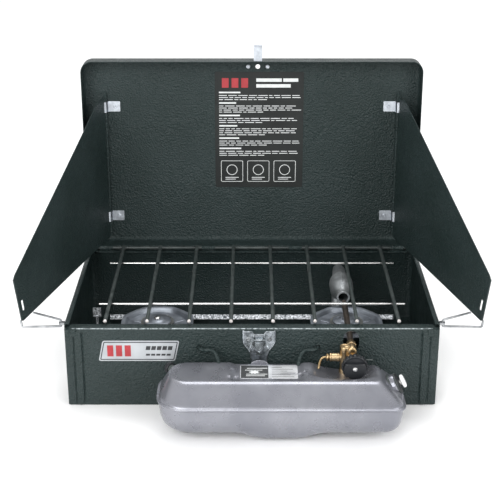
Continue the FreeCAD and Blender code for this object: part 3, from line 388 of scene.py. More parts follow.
def tank_loop(front, back, left, right, corner, height, per_corner=10):
    """A rounded rectangle drawn in from the tank's seam, tighter at the front right corner."""
    l, r, f, b = TANK_LEFT + left, TANK_RIGHT - right, TANK_FRONT + front, TANK_BACK - back
    wide = min(corner, (r - l) * 0.49, (b - f) * 0.49)
    tight = min(wide * 0.42, 13.0)
    corners = ((r - wide, b - wide, wide), (l + wide, b - wide, wide),
               (l + wide, f + wide, wide), (r - tight, f + tight, tight))
    arcs = []
    for i, (cx, cy, radius) in enumerate(corners):
        angles = [math.radians(90 * i + 90 * k / per_corner) for k in range(per_corner + 1)]
        arcs.append([(cx + radius * math.cos(a), cy + radius * math.sin(a)) for a in angles])
    out = []
    for i, arc in enumerate(arcs):
        (x, y), (after_x, after_y) = arc[-1], arcs[(i + 1) % 4][0]
        per_side = 84 if i % 2 == 0 else 26
        out += arc
        out += [(x + (after_x - x) * k / per_side, y + (after_y - y) * k / per_side)
                for k in range(1, per_side)]
    return [(x, y, SEAM + height) for x, y in out]


def soft_min(a, b, k):
    """The lower of two heights, blended where they are within k of each other."""
    h = max(0.0, k - abs(a - b)) / k
    return min(a, b) - h * h * k * 0.25


def smooth_step(a, b, t):
    """0 below a and 1 above b, with a smooth rise between."""
    t = min(1.0, max(0.0, (t - a) / (b - a)))
    return t * t * (3 - 2 * t)


def tank_top(x, y, z):
    """Sink the valve's scoop and the label's shallow seat into the upper pan."""
    across = min(61.0, abs(x - 108.0))
    scoop = 118.6 - math.sqrt(62.0 ** 2 - across ** 2) + 14 * smooth_step(-174, -190, y)
    if z > SEAM + 8:
        seat = smooth_step(-27, -19, x) * (1 - smooth_step(55, 62, x))
        z -= 2.2 * seat * smooth_step(-190, -183, y) * smooth_step(SEAM + 14, SEAM + 19, z)
    return soft_min(z, scoop, 1.8)


PUMP_TILT = math.radians(27)
PUMP = facing((math.cos(PUMP_TILT), 0, math.sin(PUMP_TILT)), (163, -175, 54))


def pump_bored(shell):
    """Clear the pump's barrel and its cup out of a tank shell."""
    bore = Solid()
    bore.lathe([(0, -56), (9.0, -56), (9.0, 30), (0, 30)], PUMP)
    baked(shell, [cutter(bore)], 60)


def tank_shells():
    """The two pressed pans, each a closed solid, and the rolled seam between them."""
    profile = [(0, 0.0), (0.8, 0.002), (1.8, 0.02), (3.0, 0.055), (4.5, 0.12), (7, 0.235), (10, 0.385),
               (13, 0.54), (15.6, 0.68), (17.2, 0.765), (18.2, 0.82), (18.9, 0.865), (19.4, 0.91),
               (19.75, 0.955), (19.95, 1.01), (20.0, 1.07), (20.0, 1.18)]
    upper = Solid()
    loops = []
    for rise, part in profile:
        loop = tank_loop(31 * part, 11 * part, 13 * part, 25 * part, 32 - 12 * part, rise)
        loops.append([(x, y, tank_top(x, y, z)) for x, y, z in loop])
    middle_x, middle_y = 32.0, -170.0
    last = tank_loop(31 * 1.18, 11 * 1.18, 13 * 1.18, 25 * 1.18, 18, 20)
    for k in range(1, 22):
        s = 1 - k / 22
        ring = [(middle_x + (x - middle_x) * (0.2 + 0.8 * s), middle_y + (y - middle_y) * s, z)
                for x, y, z in last]
        loops.append([(x, y, tank_top(x, y, z)) for x, y, z in ring])
    upper.rings(loops)
    pump_bored(upper.build("tank_upper", "tank", "silver_paint", ["tank_upper_shell"], angle=60))

    lower = Solid()
    profile = [(0, 0.0), (-4, 0.0), (-12, 0.015), (-20, 0.05), (-26, 0.11), (-31, 0.22), (-35, 0.38),
               (-38, 0.58), (-40, 0.80), (-41, 1.0), (-41, 1.3)]
    loops = []
    for drop, part in profile:
        loops.append(tank_loop(26 * part, 24 * part, 26 * part, 28 * part, 32 - 12 * part, drop))
    for k in range(1, 10):
        s = 1 - k / 10
        loops.append([(36 + (x - 36) * (0.2 + 0.8 * s), -178 + (y + 178) * s, z) for x, y, z in loops[10]])

    def sump(x, y, z):
        """The well that hangs lower under the valve."""
        well = smooth_step(-24, 16, x) * (1 - smooth_step(50, 88, x))
        near = smooth_step(-224, -212, y) * (1 - smooth_step(-162, -146, y))
        share = smooth_step(SEAM - 14, SEAM - 36, z)
        return z - 7.3 * well * near * share

    lower.rings([[(x, y, sump(x, y, z)) for x, y, z in loop] for loop in loops])
    pump_bored(lower.build("tank_lower", "tank", "silver_paint", ["tank_lower_shell"], angle=60))

    seam = Solid()
    section = [(-1.0, 1.0), (1.9, 1.0), (2.6, 0.55), (2.7, -0.1), (2.7, -0.9), (2.3, -1.55), (1.4, -1.9),
               (-1.0, -1.9)]
    loops = [tank_loop(-out, -min(out, 1.9), -out, -out, 32 + out, up) for out, up in section]
    seam.rings(loops, joined=True)
    seam.build("tank_seam", "tank", "silver_paint", angle=50)


def tank_label():
    """The foil label with plain marks, and the rest tab behind it."""
    back, front, left, right, top = -148.0, -181.0, -14.0, 53.5, SEAM + 17.9
    sheet = Solid()
    sheet.prism(closed_outline(block(left, front, right, back), 2.0), top - 0.4, top)
    sheet.build("tank_plate", "tank", "foil_label", ["tank_label"], bevel=0.08)
    dark = Solid()
    middle = left + (right - left) * 0.49
    dark.prism(block(left + 1, front + 1, middle, back - 1), top, top + 0.06)
    dark.build("tank_plate_dark", "tank", "black_ink", slot="black_label")
    pale = Solid()
    rows = ((0.74, 8, 24), (0.60, 6, 20), (0.30, 7, 25), (0.18, 7, 22))
    for row, start, length in rows:
        y = front + (back - front) * row
        pale.prism(block(left + start, y, left + start + length, y + 1.3), top + 0.06, top + 0.1)
    star = [(left + 16.5 + (7 if i % 2 == 0 else 4.2) * math.cos(math.pi * i / 9),
             front + 15.5 + (4.4 if i % 2 == 0 else 2.6) * math.sin(math.pi * i / 9)) for i in range(18)]
    pale.prism(star, top + 0.06, top + 0.1)
    pale.build("tank_plate_marks", "tank", "white_ink", slot="white_plastic")
    fine = Solid()
    for k, length in enumerate((26, 22, 28, 18, 25, 12)):
        y = front + 4 + 4.6 * k
        fine.prism(block(middle + 4, y, middle + 4 + length, y + 0.7), top, top + 0.05)
    fine.build("tank_plate_rows", "tank", "black_ink", slot="black_label")
    tab = Solid()
    low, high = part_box("tank_tab")
    middle_x = (low.x + high.x) / 2 / MM
    outline = [(-11.5, 0), (11.5, 0), (11.3, 1.4)]
    arc = [math.radians(a) for a in range(12, 169, 12)]
    outline += [(11 * math.cos(a), 1.6 + 6.6 * math.sin(a)) for a in arc]
    outline += [(-11.3, 1.4)]
    tilt = Matrix.Translation((middle_x, -142.6, 62.2)) @ Matrix.Rotation(math.radians(80), 4, "X")
    tab.prism(outline, 0, 1.5, tilt)
    tab.build("tank_rest_tab", "tank", "silver_paint", ["tank_tab"], bevel=0.5, segments=3)


def hangers():
    """The two bent rods that hook the tank into the front panel."""
    pair = Solid()
    for sign, x in ((1, -63.0), (-1, 78.5)):
        path = rounded([(x, -115.5, 78.5), (x, -131.5, 78.5), (x + sign * 18, -131.5, 78.5),
                        (x + sign * 23, -143, 70), (x + sign * 24, -149, 65.5)], 7, 7)
        pair.tube(path, 2.3, steps=16)
    pair.build("tank_hooks", "tank", "green_enamel", ["tank_hangers"], slot="black_enamel", bevel=0.3)


# ----------------------------------------------------- valve, knob and pump


def nut(solid, half, length, bore, matrix):
    """A chamfered hexagon nut, open through its middle."""
    steps = 48

    def loop(height):
        out = []
        for i in range(steps):
            angle = 2 * math.pi * i / steps
            local = (angle + math.pi / 6) % (math.pi / 3) - math.pi / 6
            reach = min(half / math.cos(local), half * 1.12)
            out.append((reach * math.cos(angle), reach * math.sin(angle), height))
        return out

    face, chamfer = half * 0.94, half * 0.14
    solid.rings([circle(bore, 0, steps), circle(face, 0, steps), loop(chamfer), loop(length - chamfer),
                 circle(face, length, steps), circle(bore, length, steps)], matrix, joined=True)


VALVE_X, VALVE_Y = 109.5, -145
STEM_X, STEM_Z = 119.5, 76
GENERATOR_X, GENERATOR_Z = 118, 86


def valve():
    """The brass valve: a column with a side arm for the lever, a stem barrel and the generator's socket."""
    body = Solid()
    body.lathe([(0, 56), (6.6, 56), (6.6, 60.2), (6.3, 61), (5.8, 61.6), (5.6, 63), (5.6, 82), (6.1, 83),
                (6.1, 90.2), (5.6, 91), (4.2, 91), (4.0, 90.4), (0, 90.4)],
               Matrix.Translation((VALVE_X, VALVE_Y, 0)))
    body.lathe([(0, 3), (4.4, 3), (4.4, 6.6), (5.1, 7.0), (5.1, 8.2), (4.6, 8.6), (4.6, 15.6), (5.1, 16.0),
                (5.1, 17.3), (4.7, 17.8), (0, 17.8)], facing((-1, 0, 0), (VALVE_X, VALVE_Y, STEM_Z)))
    body.lathe([(0, 0), (5.0, 0), (5.0, 5.5), (4.4, 6.5), (4.4, 9), (0, 9)],
               facing((1, 0, 0), (VALVE_X, VALVE_Y, GENERATOR_Z)))
    body.lathe([(0, -6), (3.2, -6), (4.8, -5), (5.3, -3), (5.3, 5.5), (4.7, 7.2), (0, 7.4)],
               facing((0, 1, 0), (GENERATOR_X, VALVE_Y, GENERATOR_Z)))
    body.lathe([(0, -4), (5.6, -4), (5.9, -3), (5.9, 10), (5.3, 13.6), (2.56, 14), (2.56, 13), (0, 13)],
               facing((0, -1, 0), (STEM_X, VALVE_Y, STEM_Z)))
    body.lathe([(0, 0), (4.6, 0), (4.6, 10), (0, 10)], facing((1, 0, 0), (110, VALVE_Y, 77)))
    body.build("valve", "tank", "brass", ["valve_body"], bevel=0.25)
    packing = Solid()
    nut(packing, 5.2, 4, 2.56, facing((0, -1, 0), (STEM_X, VALVE_Y - 14.2, STEM_Z)))
    packing.build("stem_nut", "tank", "brass", ["packing_nut"], bevel=0.15)
    collar = Solid()
    collar.lathe([(1.68, 0), (3.2, 0), (3.0, 0.6), (4.3, 1.2), (4.7, 2.1), (4.3, 3.2), (3.2, 3.8),
                  (1.68, 3.8)], facing((-1, 0, 0), (91.3, VALVE_Y, STEM_Z)))
    collar.build("lever_collar", "tank", "brass", ["lever_nut"])
    socket = Solid()
    nut(socket, 5.4, 8, 4.02, facing((0, 1, 0), (GENERATOR_X, -136.9, GENERATOR_Z)))
    socket.build("tube_nut", "tank", "brass", ["generator_nut"], bevel=0.15)
    lever = Solid()
    bend = [(97.5, VALVE_Y, STEM_Z), (83.2, VALVE_Y, STEM_Z), (79.4, -152, 72.6), (78, -159, 67.8)]
    lever.tube(rounded(bend, 4, 8), 1.45, steps=16)
    lever.build("lighting_wire", "lighting_lever", "brass", ["lighting_lever"])
    tube = Solid()
    tube.lathe([(0, 0), (3.95, 0), (3.95, 2), (3.7, 2.6), (3.7, 112), (3.0, 114.5), (2.6, 116), (2.6, 125.8),
                (2.2, 126.2), (0, 126.2)], facing((0, 1, 0), (GENERATOR_X, -136.8, GENERATOR_Z)))
    tube.build("generator", "tank", "dull_brass", ["generator_tube"], slot="brass")


def knob():
    """The scalloped dial with its flat-topped grip, and its slotted screw."""
    disc = Solid()
    steps = 144

    def outline(radius, depth, amount):
        out = []
        for i in range(steps):
            angle = 2 * math.pi * i / steps
            bite = max(0.0, math.cos(18 * angle) - 0.25) / 0.75
            r = radius - amount * bite ** 0.8
            out.append((r * math.cos(angle), r * math.sin(angle), depth))
        return out

    turn = upright(STEM_X, -165, STEM_Z)
    section = [(13.2, 0, 0.4), (14.9, 0.5, 0.9), (15.5, 1.4, 1.3), (15.5, 6.6, 1.3), (15.0, 7.6, 0.9),
               (14.2, 8.1, 0.4), (13.6, 8.0, 0.0), (12.9, 7.4, 0.0), (11.0, 7.2, 0.0)]
    disc.rings([outline(*row) for row in section], turn)
    pad = [(x, min(6.4, y)) for x, y, z in circle(13.0, 0, 60)]
    disc.rings([[(x, y, 7.0) for x, y in pad], [(x, y, 11.2) for x, y in pad],
                [(x * 0.95, y * 0.95 - 0.1, 12.0) for x, y in pad]], turn)
    disc.lathe([(0, -3.8), (3.6, -3.8), (4.2, -3), (4.2, 0.4), (0, 0.4)], turn)
    disc.build("control_dial", "knob", "black_plastic", ["control_knob"], bevel=0.22, angle=40)
    screw = Solid()
    screw.lathe([(0, 11.6), (2.9, 11.6), (2.9, 12.1), (2.4, 12.75), (1.4, 13.0), (0, 13.05)], turn)
    screw.build("dial_screw", "knob", "plated_steel", ["knob_screw"])
    # The screw's slot is a flush black bar on the head: painted shade of the groove.
    slot = Solid()
    slot.prism(block(-2.5, -0.35, 2.5, 0.35), 12.7, 13.0, turn @ Matrix.Rotation(0.5, 4, "Z"))
    slot.build("dial_screw_slot_painted_shade", "knob", "black_ink", slot="black_plastic")


def pump():
    """The pump's collar, cap and clip on the tank, and its rod and button."""
    collar = Solid()
    collar.lathe([(9.2, -1), (12.9, -1), (12.9, 0.6), (12.4, 1.2), (12.4, 5.6), (11.8, 6.6), (10.6, 7.4),
                  (9.2, 7.4)], PUMP, 64)
    for i in range(3):
        angle = math.radians(30 + 120 * i)
        collar.prism([(13.3, -2.6), (13.3, 2.6), (11.5, 2.6), (11.5, -2.6)], 1.5, 5.4,
                     PUMP @ Matrix.Rotation(angle, 4, "Z"))
    collar.build("pump_seat", "tank", "silver_paint", ["pump_collar"], bevel=0.3)
    cap = Solid()
    cap.lathe([(3.1, 4.2), (8.9, 4.2), (8.9, 7.2), (11.4, 7.6), (11.4, 9.2), (10.6, 9.9), (4.6, 10.3),
               (3.1, 10.3)], PUMP, 64)
    cap.build("pump_lid", "tank", "black_plastic", ["pump_cap"])
    ring = Solid()
    ring.lathe([(12.6, -1), (13.9, -1), (13.9, 0.6), (13.2, 1.2), (12.6, 1.2)], PUMP, 64)
    turns = [math.radians(degrees) for degrees in range(20, 341, 8)]
    ring.tube([(12.3 * math.cos(a), 12.3 * math.sin(a), 7.6) for a in turns], 0.7, PUMP, 10)
    ring.build("pump_clip", "tank", "black_enamel")
    stem = Solid()
    stem.lathe([(1.62, -54), (2.95, -54), (2.95, 10.8), (3.4, 11.2), (3.4, 11.4), (1.62, 11.4)], PUMP, 32)
    stem.build("pump_shaft", "pump_plunger", "plated_steel", ["pump_rod"])
    button = Solid()
    button.lathe([(0, 11.8), (3.6, 11.8), (3.9, 12.2), (7.2, 12.6), (7.8, 13.2), (7.8, 14.9), (7.3, 15.8),
                  (6.2, 16.4), (0, 16.6)], PUMP, 64,
                 wave=lambda a, r, h: 1 + (0.02 * math.cos(24 * a) if r > 7 else 0))
    button.build("pump_button", "pump_knob", "white_plastic", ["pump_knob"], angle=50)


def filler_cap():
    """The ribbed cap at the tank's back left corner."""
    axis = facing((-1, 1, 0), (-91.4, -145.6, 58.5))
    cap = Solid()
    cap.lathe([(0.0, 12.5), (5.0, 12.5), (6.2, 12.1), (6.8, 11.2), (6.8, 7.4), (6.5, 7), (5.3, 7),
               (5.3, 10.6), (0.0, 10.6)], axis, 96,
              wave=lambda a, r, h: 1 - (0.03 * max(0.0, math.cos(20 * a)) if r > 6.4 else 0))
    cap.build("filler_lid", "filler_cap", "black_plastic", ["filler_cap"], angle=50)


# ------------------------------------------------------------------ lid

HINGE_Y, HINGE_Z = 122.8, 106
LID = Matrix.Translation((0, HINGE_Y, HINGE_Z)) @ Matrix.Rotation(math.radians(-1.5), 4, "X")
FACE = 30.5


def baked(thing, cutters, sharp=32):
    """Cut holes in a piece and keep the result as its mesh."""
    for cutter in cutters:
        hole = thing.modifiers.new("hole", "BOOLEAN")
        hole.operation = "DIFFERENCE"
        hole.solver = "EXACT"
        hole.object = cutter
    bpy.context.view_layer.update()
    done = bpy.data.meshes.new_from_object(thing.evaluated_get(bpy.context.evaluated_depsgraph_get()))
    thing.modifiers.clear()
    thing.data = done
    for cutter in cutters:
        bpy.data.objects.remove(cutter)
    done.set_sharp_from_angle(angle=math.radians(sharp))


def cutter(solid):
    """A closed shape that only cuts."""
    mesh = bpy.data.meshes.new("cutter")
    mesh.from_pydata([v * MM for v in solid.verts], [], solid.faces)
    outward(mesh)
    thing = bpy.data.objects.new("cutter", mesh)
    bpy.context.scene.collection.objects.link(thing)
    return thing


def lid_loop(inset, y):
    """The lid's outline in its own frame, rounded at the top corners."""
    low, high, half = inset, 258 - inset, 225 - inset
    top, foot = max(15 - inset, 3), max(3.0 - inset, 1.0)
    out = []
    for cx, cz, r, start in ((half - top, high - top, top, 0), (-half + top, high - top, top, 90),
                             (-half + foot, low + foot, foot, 180), (half - foot, low + foot, foot, 270)):
        for k in range(13):
            angle = math.radians(start + 90 * k / 12)
            out.append((cx + r * math.cos(angle), y, cz + r * math.sin(angle)))
    return out


def lid():
    """The pressed tray, the leaf that closes the gap under it and the bead round its inside."""
    tray = Solid()
    inner = [(7.5, 30.5), (6.0, 30.5), (4.6, 30.2), (3.0, 29.2), (1.8, 27.6), (1.2, 25.5), (1.2, 6.4),
             (1.5, 5.6), (1.2, 5.0)]
    outer = [(0.6, 4.6), (0.1, 5.0), (0.0, 5.8), (0.0, 26.5), (0.5, 28.6), (1.6, 30.3), (3.0, 31.2),
             (4.6, 31.5), (6.5, 31.5), (18.5, 31.5), (19.6, 31.35), (20.6, 31.05), (21.8, 30.92), (24, 30.92)]
    tray.rings([lid_loop(inset, y) for inset, y in inner + outer], LID)
    thing = tray.build("lid_pressing", "lid", "green_enamel", ["lid_tray"], angle=32)
    hole = Solid()
    hole.lathe([(0, 0), (3.1, 0), (3.1, 10), (0, 10)], LID @ facing((0, 1, 0), (8, 26, 246)), 24)
    baked(thing, [cutter(hole)])
    leaf = Solid()
    section = [(4.6, 1.0), (4.6, -6.2), (4.9, -6.8), (5.3, -6.8), (5.5, -6.2), (5.5, 1.0)]
    leaf.extrude(section, -221, 221, LID)
    leaf.build("lid_leaf", "lid", "green_enamel", bevel=0.15)
    bead = Solid()
    section = ((1.3, 9.0), (1.55, 9.6), (1.7, 10.6), (1.55, 11.6), (1.3, 12.2), (1.05, 10.6))
    bead.rings([lid_loop(inset, y) for inset, y in section], LID, joined=True)
    bead.build("lid_bead", "lid", "green_enamel", angle=60)


def bars(solid, rows, x0, z_top, height, gap, level, matrix):
    """Rows of plain bars that stand for printed lines."""
    z = z_top
    for runs in rows:
        x = x0
        for run in runs:
            solid.prism(block(x, z, x + run, z + height), level, level + 0.05, matrix)
            x += run + 2.0
        z -= height + gap


def lid_label():
    """The black label, with three plain bars, rows that stand for print and three plain boxes."""
    at = LID @ upright(10, FACE, 78)
    plate = Solid()
    plate.prism(closed_outline(block(-59.5, 0, 59.5, 161), 2.5), 0.02, 0.3, at)
    plate.build("lid_decal", "lid", "black_label", ["lid_label"])
    white, red = Solid(), Solid()
    draw = random.Random(5)
    for k in range(3):
        x = -50 + 13 * k
        red.prism(block(x, 139.5, x + 9, 152.5), 0.3, 0.36, at)
    bars(white, [(34, 20), (46,)], -4, 147.5, 4.6, 3.2, 0.3, at)
    z = 132.0
    for rows in (3, 4, 3, 4, 3, 3):
        bars(white, [(20 + 14 * draw.random(),)], -54, z, 2.0, 0, 0.3, at)
        z -= 3.6
        lines = []
        for i in range(rows):
            width, runs = 0.0, []
            while width < (100 if i < rows - 1 else 58):
                run = 4 + 9 * draw.random()
                runs.append(run)
                width += run + 2
            lines.append(tuple(runs))
        bars(white, lines, -54, z, 0.9, 1.9, 0.3, at)
        z -= rows * 2.8 + 2.4
    for k in range(3):
        x = -52 + 36 * k
        white.border(closed_outline(block(x, 8, x + 30, 38), 2),
                     closed_outline(block(x + 0.6, 8.6, x + 29.4, 37.4), 1.6), 0.3, 0.36, at)
        white.lathe([(6.6, 0.3), (7.4, 0.3), (7.4, 0.36), (6.6, 0.36)],
                    at @ Matrix.Translation((x + 15, 25, 0)))
        bars(white, [(18,), (14,)], x + 6, 13.6, 0.9, 1.6, 0.3, at)
    white.build("lid_decal_marks", "lid", "white_ink", slot="white_plastic")
    red.build("lid_decal_flash", "lid", "red_ink", slot="black_label")


def rivet(solid, matrix, radius=2.7, height=1.3, dimple=0.35):
    """A clenched rivet with a ring and a dimple."""
    solid.lathe([(0, -0.4), (radius, -0.4), (radius, height * 0.3), (radius * 0.9, height * 0.75),
                 (radius * 0.68, height), (radius * 0.48, height * 0.9), (radius * 0.36, height * 0.55),
                 (radius * 0.2, height * 0.5 - dimple * 0.2), (0, height * 0.5)], matrix, 28)


def lid_fittings():
    """The hasp, the rivets, the clips that hold the windshields and the lid's knuckles."""
    hasp = Solid()
    strap = [(7.5, 257.6), (26, 257.6), (26, 259.2), (9.2, 259.2), (8.7, 259.7), (8.7, 277.6), (8.2, 279.2),
             (7.0, 280.0), (3.5, 280.0), (3.5, 278.8), (6.4, 278.8), (7.1, 278.4), (7.5, 277.4)]
    hasp.extrude(strap, 2.5, 13.5, LID)
    hasp.build("hasp", "lid", "clip_steel", ["lid_hasp"], bevel=0.25, slot="plated_steel")
    dots = Solid()
    for sign in (-1, 1):
        rivet(dots, LID @ facing((0, -1, 0), (8 + 13 * sign, FACE, 246)), 2.8, 1.4)
    clips = Solid()
    for sign in (-1, 1):
        for low in (37.0, 192.0):
            x = 196.0 * sign
            a, b = sorted((x + sign * 1.2, x - sign * 19.0))
            leaf = closed_outline(block(a, low - 7, b, low + 7), 1.2)
            clips.prism(leaf, 0.05, 0.95, LID @ upright(0, FACE, 0))
            turns = [math.radians(-90 + 16.5 * k) for k in range(1, 19)]
            curl, inner = ([(x + sign * radius * math.sin(a), FACE - 5 + radius * math.cos(a)) for a in turns]
                           for radius in (3.05, 2.0))
            section = [(x - sign * 3.1, FACE - 0.05), (x - sign * 3.05, FACE - 5)] + curl + inner[::-1]
            section += [(x - sign * 2.1, FACE - 5), (x - sign * 2.1, FACE - 0.05)]
            clips.prism(section, low - 7, low + 7, LID)
            rivet(dots, LID @ facing((0, -1, 0), (x - sign * 12.2, FACE - 0.9, low)), 2.4, 1.2)
    clips.build("shield_hinges", "lid", "clip_steel", ["windshield_clips"], slot="plated_steel", bevel=0.2)
    dots.build("lid_dots", "lid", "clip_steel", ["lid_rivets"], slot="plated_steel")
    loops = Solid()
    for x in (-152, -100, 100, 152):
        turns = [math.radians(a) for a in range(0, 271, 15)]
        shape = [(3.35 * math.sin(a), 3.35 * math.cos(a)) for a in turns]
        shape += [(2.2 * math.sin(a), 2.2 * math.cos(a)) for a in turns[::-1]]
        loops.extrude(shape, x - 9, x + 9, LID)
        loops.rings([[(px, y, pz) for px, pz in block(x - 9, -0.9, x + 9, 0.1)] for y in (2.6, 16.0)], LID)
    loops.build("lid_knuckles", "lid", "green_enamel", ["lid_hinge_knuckles"], bevel=0.12)


def windshield(side, sign):
    """A folding side screen with notches for its clips, a slot for the bail, hems and a pin."""
    body = f"windshield_{side}"
    at = LID @ Matrix.Translation((sign * 196, 25.5, 0)) @ Matrix.Rotation(math.radians(-sign * 75.5), 4, "Z")
    flat = at @ UPRIGHT
    sheet = Solid()
    corners = [(sign * 2.2, 8.5), (sign * 296, 6), (sign * 311.6, 67), (sign * 26, 206), (sign * 2.2, 206)]
    sheet.prism(closed_outline(corners, [1, 5, 7, 8, 1], 6), -0.4, 0.4, flat)
    thing = sheet.build(f"shield_{side}", body, "green_enamel", [body])
    slot = [(sign * x, z) for x, z in ((287, 18.5), (297, 17.5), (300.5, 32), (290.5, 33))]
    cuts = []
    for shape in (block(0, 29, sign * 6, 45), block(0, 184, sign * 6, 200), closed_outline(slot, 1.0)):
        opening = Solid()
        opening.prism(shape, -3, 3, flat)
        cuts.append(cutter(opening))
    baked(thing, cuts)
    trim = Solid()
    for low, high in ((9, 28.5), (45.5, 183.5), (200.5, 206)):
        trim.lathe([(1.55, low), (2.25, low), (2.25, high), (1.55, high)], at, 20)
    trim.lathe([(0, 16), (1.5, 16), (1.5, 213), (0, 213)], at, 16)
    hem = [(sign * x, z) for x, z in ((290.1, 8.5), (296.8, 7.5), (311.2, 65), (304.8, 67.6))]
    trim.prism(closed_outline(hem, 0.8), -0.8, 0.8, flat)
    trim.build(f"shield_{side}_trim", body, "green_enamel", bevel=0.25)


# ----------------------------------------------------------------- case

FRONT = -125.0
RIB_X = 208.2
HANGER_XS, HANGER_Z = (-63, 78.5), 78.5


def case_tub():
    """The bent sheet of the sides and the back, swept round the case, and its floor."""
    corner = 6.0
    path = [(-223.5, -124.0 + 236 * k / 12, -1.0, 0.0) for k in range(13)]
    for side, start in ((-1, 180), (1, 90)):
        cx, cy = side * (223.5 - corner), 125 - corner
        if side > 0:
            path += [(x, 125.0, 0.0, 1.0) for x in range(-204, 205, 12)]
            path += [(x, 125.0, 0.0, 1.0) for x in (208, 212, 215)]
        for k in range(9):
            angle = math.radians(start - 90 * k / 8)
            nx, ny = math.cos(angle), math.sin(angle)
            path.append((cx + corner * nx, cy + corner * ny, nx, ny))
        if side < 0:
            path += [(x, 125.0, 0.0, 1.0) for x in (-215, -212, -208)]
    path += [(223.5, 112.0 - 236 * k / 12, 1.0, 0.0) for k in range(13)]
    loops = []
    for x, y, nx, ny in path:
        top = 110.0 if y < 119 else 101.9 + 8.1 * smooth_step(213, 219, abs(x))
        section = [(3.0, 0.0), (1.3, 0.4), (0.4, 1.3), (0.0, 3.0), (0.0, top - 1.8), (0.35, top - 0.6),
                   (1.4, top), (5.0, top), (5.8, top - 0.3), (6.0, top - 1.4), (5.2, top - 1.0),
                   (1.8, top - 1.0), (1.0, top - 2.0), (1.0, 3.6), (1.6, 2.0), (3.0, 1.0)]
        loops.append([(x - nx * off, y - ny * off, z) for off, z in section])
    tub = Solid()
    tub.rings(loops)
    base = [(-221, -124), (221, -124), (221, 120), (218.5, 122.5), (-218.5, 122.5), (-221, 120)]
    tub.prism(base, 0.05, 0.95)
    tub.build("case_tub", "case", "green_enamel", ["case_body"], angle=50)


def rib_rise(x, z):
    """How far the front panel's two upright ribs stand out, with a groove on each side."""
    t = abs(abs(x) - RIB_X)
    if t >= 7:
        return 0.0
    groove = 0.75 * smooth_step(4.2, 5.2, t) * (1 - smooth_step(5.4, 6.4, t))
    rise = 1.38 * (1 - smooth_step(3.6, 4.8, t)) - groove
    return rise * smooth_step(1.5, 6, z) * (1 - smooth_step(97, 101.5, z))


def front_panel():
    """The front sheet with its ribs, rolled top, generator opening and hanger holes."""
    across = [-223.5, -222.5, -180, -120, -60, 0, 60, 120, 180, 222.5, 223.5]
    across += [centre + 0.4 * k for centre in (-RIB_X, RIB_X) for k in range(-18, 19)]
    across.sort()
    loops = []
    for z in (1.2, 2.2, 3.4, 4.8, 6.4, 20, 40, 60, 80, 95, 97, 98.2, 99.4, 100.4, 101.3):
        loops.append([(x, FRONT - rib_rise(x, z), z) for x in across]
                     + [(x, FRONT + 1, z) for x in reversed(across)])
    for turn in (20, 45, 70, 90):
        a = math.radians(turn)
        y, z = FRONT + 2.6 - 2.6 * math.cos(a), 101.3 + 2.6 * math.sin(a)
        y2, z2 = FRONT + 2.6 - 1.6 * math.cos(a), 101.3 + 1.6 * math.sin(a)
        loops.append([(x, y, z) for x in across] + [(x, y2, z2) for x in reversed(across)])
    pull = [max(-216.5, min(216.5, x)) for x in across]
    loops.append([(x, FRONT + 12.2, 103.9) for x in pull]
                 + [(x, FRONT + 12.2, 102.9) for x in reversed(pull)])
    for drop, off in ((0.4, 13.0), (2.0, 13.4)):
        loops.append([(x, FRONT + off, 103.9 - drop) for x in pull]
                     + [(x, FRONT + off - 1, 102.9 - drop + 0.2) for x in reversed(pull)])
    panel = Solid()
    panel.rings(loops)
    thing = panel.build("front_sheet", "case", "green_enamel", ["front_panel"])
    port = Solid()
    ring = [(118.5 + x, 86.5 + z + (4.5 if z > 0 else -4.5)) for x, z, level in circle(9.5, 0, 48)]
    port.prism(ring, -8, 8, upright(0, FRONT, 0))
    cuts = [cutter(port)]
    for x in HANGER_XS:
        hole = Solid()
        hole.lathe([(0, -6), (3.6, -6), (3.6, 6), (0, 6)], facing((0, 1, 0), (x, FRONT, HANGER_Z)), 28)
        cuts.append(cutter(hole))
    baked(thing, cuts)
    # A thin tube on the rolled top edge, its pale speckle partly paint wear and partly a painted highlight.
    edge = Solid()
    path = [(x, FRONT + 0.75, 103.2) for x in (-215, -140, -60, 20, 100, 160, 215)]
    edge.tube(path, 0.75, steps=10)
    edge.build("front_edge", "case", "wear_and_painted_highlight_edge", slot="green_enamel")
    spots = Solid()
    for sign in (-1, 1):
        spots.lathe([(0, 0.5), (1.5, 0.35), (2.3, 0.0), (2.6, -0.4), (0, -0.4)],
                    facing((0, -1, 0), (sign * 217.6, FRONT + 0.1, 26)), 24)
        tab = closed_outline(block(sign * 210, 94, sign * 222.5, 103.2), 1.5)
        spots.prism(tab, -0.9, 1.7, upright(0, FRONT - 0.1, 0))
        spots.lathe([(0, 1.0), (1.2, 0.8), (1.8, 0.2), (1.9, -0.3), (0, -0.3)],
                    facing((0, -1, 0), (sign * 217.6, FRONT - 1.6, 99)), 24)
        spots.lathe([(0, 2.0), (2.2, 1.7), (4.2, 0.8), (5.0, -0.4), (0, -0.4)],
                    facing((0, -1, 0), (sign * RIB_X, FRONT - 0.2, 5.2)), 28)
    spots.build("front_corners", "case", "green_enamel", bevel=0.2)


